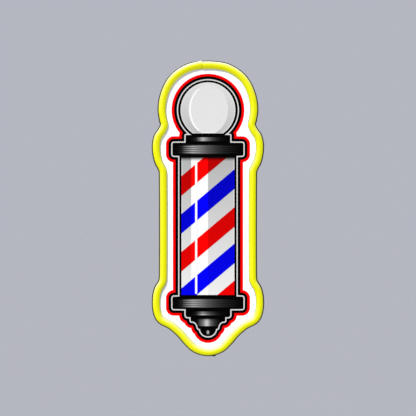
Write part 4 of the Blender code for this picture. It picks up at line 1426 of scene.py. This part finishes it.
def smooth_plastic(name, colour, roughness=0.4):
    """PVC or nylon: nearly even, with faint clouds and drawing marks."""
    finish = Finish(name)
    cloud = finish.ranged(finish.noise(80.0, 3.0), 0.3, 0.7)
    gloss = finish.ranged(cloud, 0.0, 1.0, roughness, roughness + 0.1)
    finish.set(Base_Color=finish.mix(cloud, scaled(colour, 0.85), colour), Roughness=gloss)
    return finish.bump(finish.noise(1500.0), 0.15, 0.03 * MM).material


inner_finish = {
    "strip_white": circuit("strip_white", seen(236, 236, 232), seen(214, 205, 180), 90.0),
    "board_green": circuit("board_green", seen(10, 84, 48), seen(34, 122, 70), 260.0),
    "phosphor": phosphor(),
    "reflector_white": smooth_plastic("reflector_white", seen(240), 0.3),
    "connector_white": smooth_plastic("connector_white", seen(232, 232, 222)),
    "wire_red": smooth_plastic("wire_red", seen(190, 24, 22), 0.32),
    "wire_black": smooth_plastic("wire_black", seen(28), 0.32),
    "can_silver": metal("can_silver", seen(214, 214, 218), 0.26, (1.0, 1.0, 0.05)),
    "steel": plated_steel,
    "chip_black": epoxy,
    "grey_plastic": grey_plastic,
}
carried_over = 0
for name, node in nodes.items():
    if node.hide_render:
        continue
    slot_name = node.material_slots[0].material.name.split(".")[0]
    for place in node.material_slots:
        place.material = inner_finish[slot_name]
    carried_over += 1
print("carried over with a new finish:", carried_over)

# %% [markdown]
# ## Floor and sky
#
# The floor is a wide pale disc, and the sky has the same brightness, so that no line shows where they
# meet. The floor lies well below the sign, so that it can also be seen from below.

# %% Floor and sky
FLOOR_HEIGHT = -0.9
FLOOR_RADIUS = 40.0
SKY = (0.46, 0.47, 0.53, 1.0)


def floor_finish():
    finish = Finish("pale_floor")
    cloud = finish.ranged(finish.noise(3.0, 4.0), 0.3, 0.7)
    finish.set(
        Base_Color=finish.mix(cloud, (0.169, 0.172, 0.186, 1.0), (0.171, 0.174, 0.188, 1.0)),
        Roughness=finish.ranged(cloud, 0.0, 1.0, 0.85, 0.95),
        Specular_IOR_Level=0.0,
    )
    return finish.material


work = bmesh.new()
bmesh.ops.create_circle(work, cap_ends=True, segments=96, radius=FLOOR_RADIUS)
floor_mesh = mesh_from(work)
floor_mesh.transform(Matrix.Translation((0.0, 0.0, FLOOR_HEIGHT)))
floor_mesh.materials.append(floor_finish())
floor = scratch("floor", floor_mesh)

world = bpy.data.worlds.new("studio")
world.use_nodes = True
sky = world.node_tree.nodes["Background"].inputs
sky["Color"].default_value = SKY
sky["Strength"].default_value = 1.0
bpy.context.scene.world = world
print("floor at", FLOOR_HEIGHT, "m")

# %% [markdown]
# ## Lights
#
# A soft light from above, in front and to the left lights the face and casts the tube's soft shadow on
# it. Two more, nearly in the plane of the sign, light the tube's and the tray's upper edges from either
# side of it, and a weak one lights the back. Sun lights do it, because they light the whole sign evenly
# and their width alone sets how soft the shadows are.

# %% Lights
# Each light: the direction that it comes from, its strength, its width in degrees and its colour.
LIGHTS = {
    "key": ((-0.45, -1.0, 0.75), 3.9, 9.0, (1.0, 1.0, 1.0)),
    "edge": ((-0.5, -0.1, 1.0), 3.0, 30.0, (1.0, 1.0, 1.0)),
    "rear_edge": ((-0.5, 0.5, 0.9), 2.4, 30.0, (1.0, 1.0, 1.0)),
    "back": ((0.5, 1.0, 0.6), 0.8, 30.0, (0.95, 0.97, 1.0)),
}
for name, (direction, strength, spread, colour) in LIGHTS.items():
    light = bpy.data.lights.new(name, "SUN")
    light.energy = strength
    light.angle = math.radians(spread)
    light.color = colour
    lamp = scratch(name, light)
    lamp.rotation_euler = Vector(direction).to_track_quat("Z", "Y").to_euler()
    lamp.location = Vector(direction) * 2.0
print("lights:", *LIGHTS)

# %% [markdown]
# ## Camera
#
# The camera looks straight at the face through a long lens, as for a catalogue picture, so that the
# sign's sides hardly show. The Standard view keeps the films' colours as strong as they are.

# %% Camera
CAMERA_AT = (0.00006, -1.687, 0.0003)
lens = bpy.data.cameras.new("camera")
lens.lens = 120.0
lens.sensor_width = 36.0
lens.clip_end = 200.0
camera = scratch("camera", lens)
camera.location = CAMERA_AT
camera.rotation_euler = (math.radians(90), 0.0, 0.0)
bpy.context.scene.camera = camera
bpy.context.scene.view_settings.view_transform = "Standard"
print("camera", -CAMERA_AT[1], "m in front of the wall")
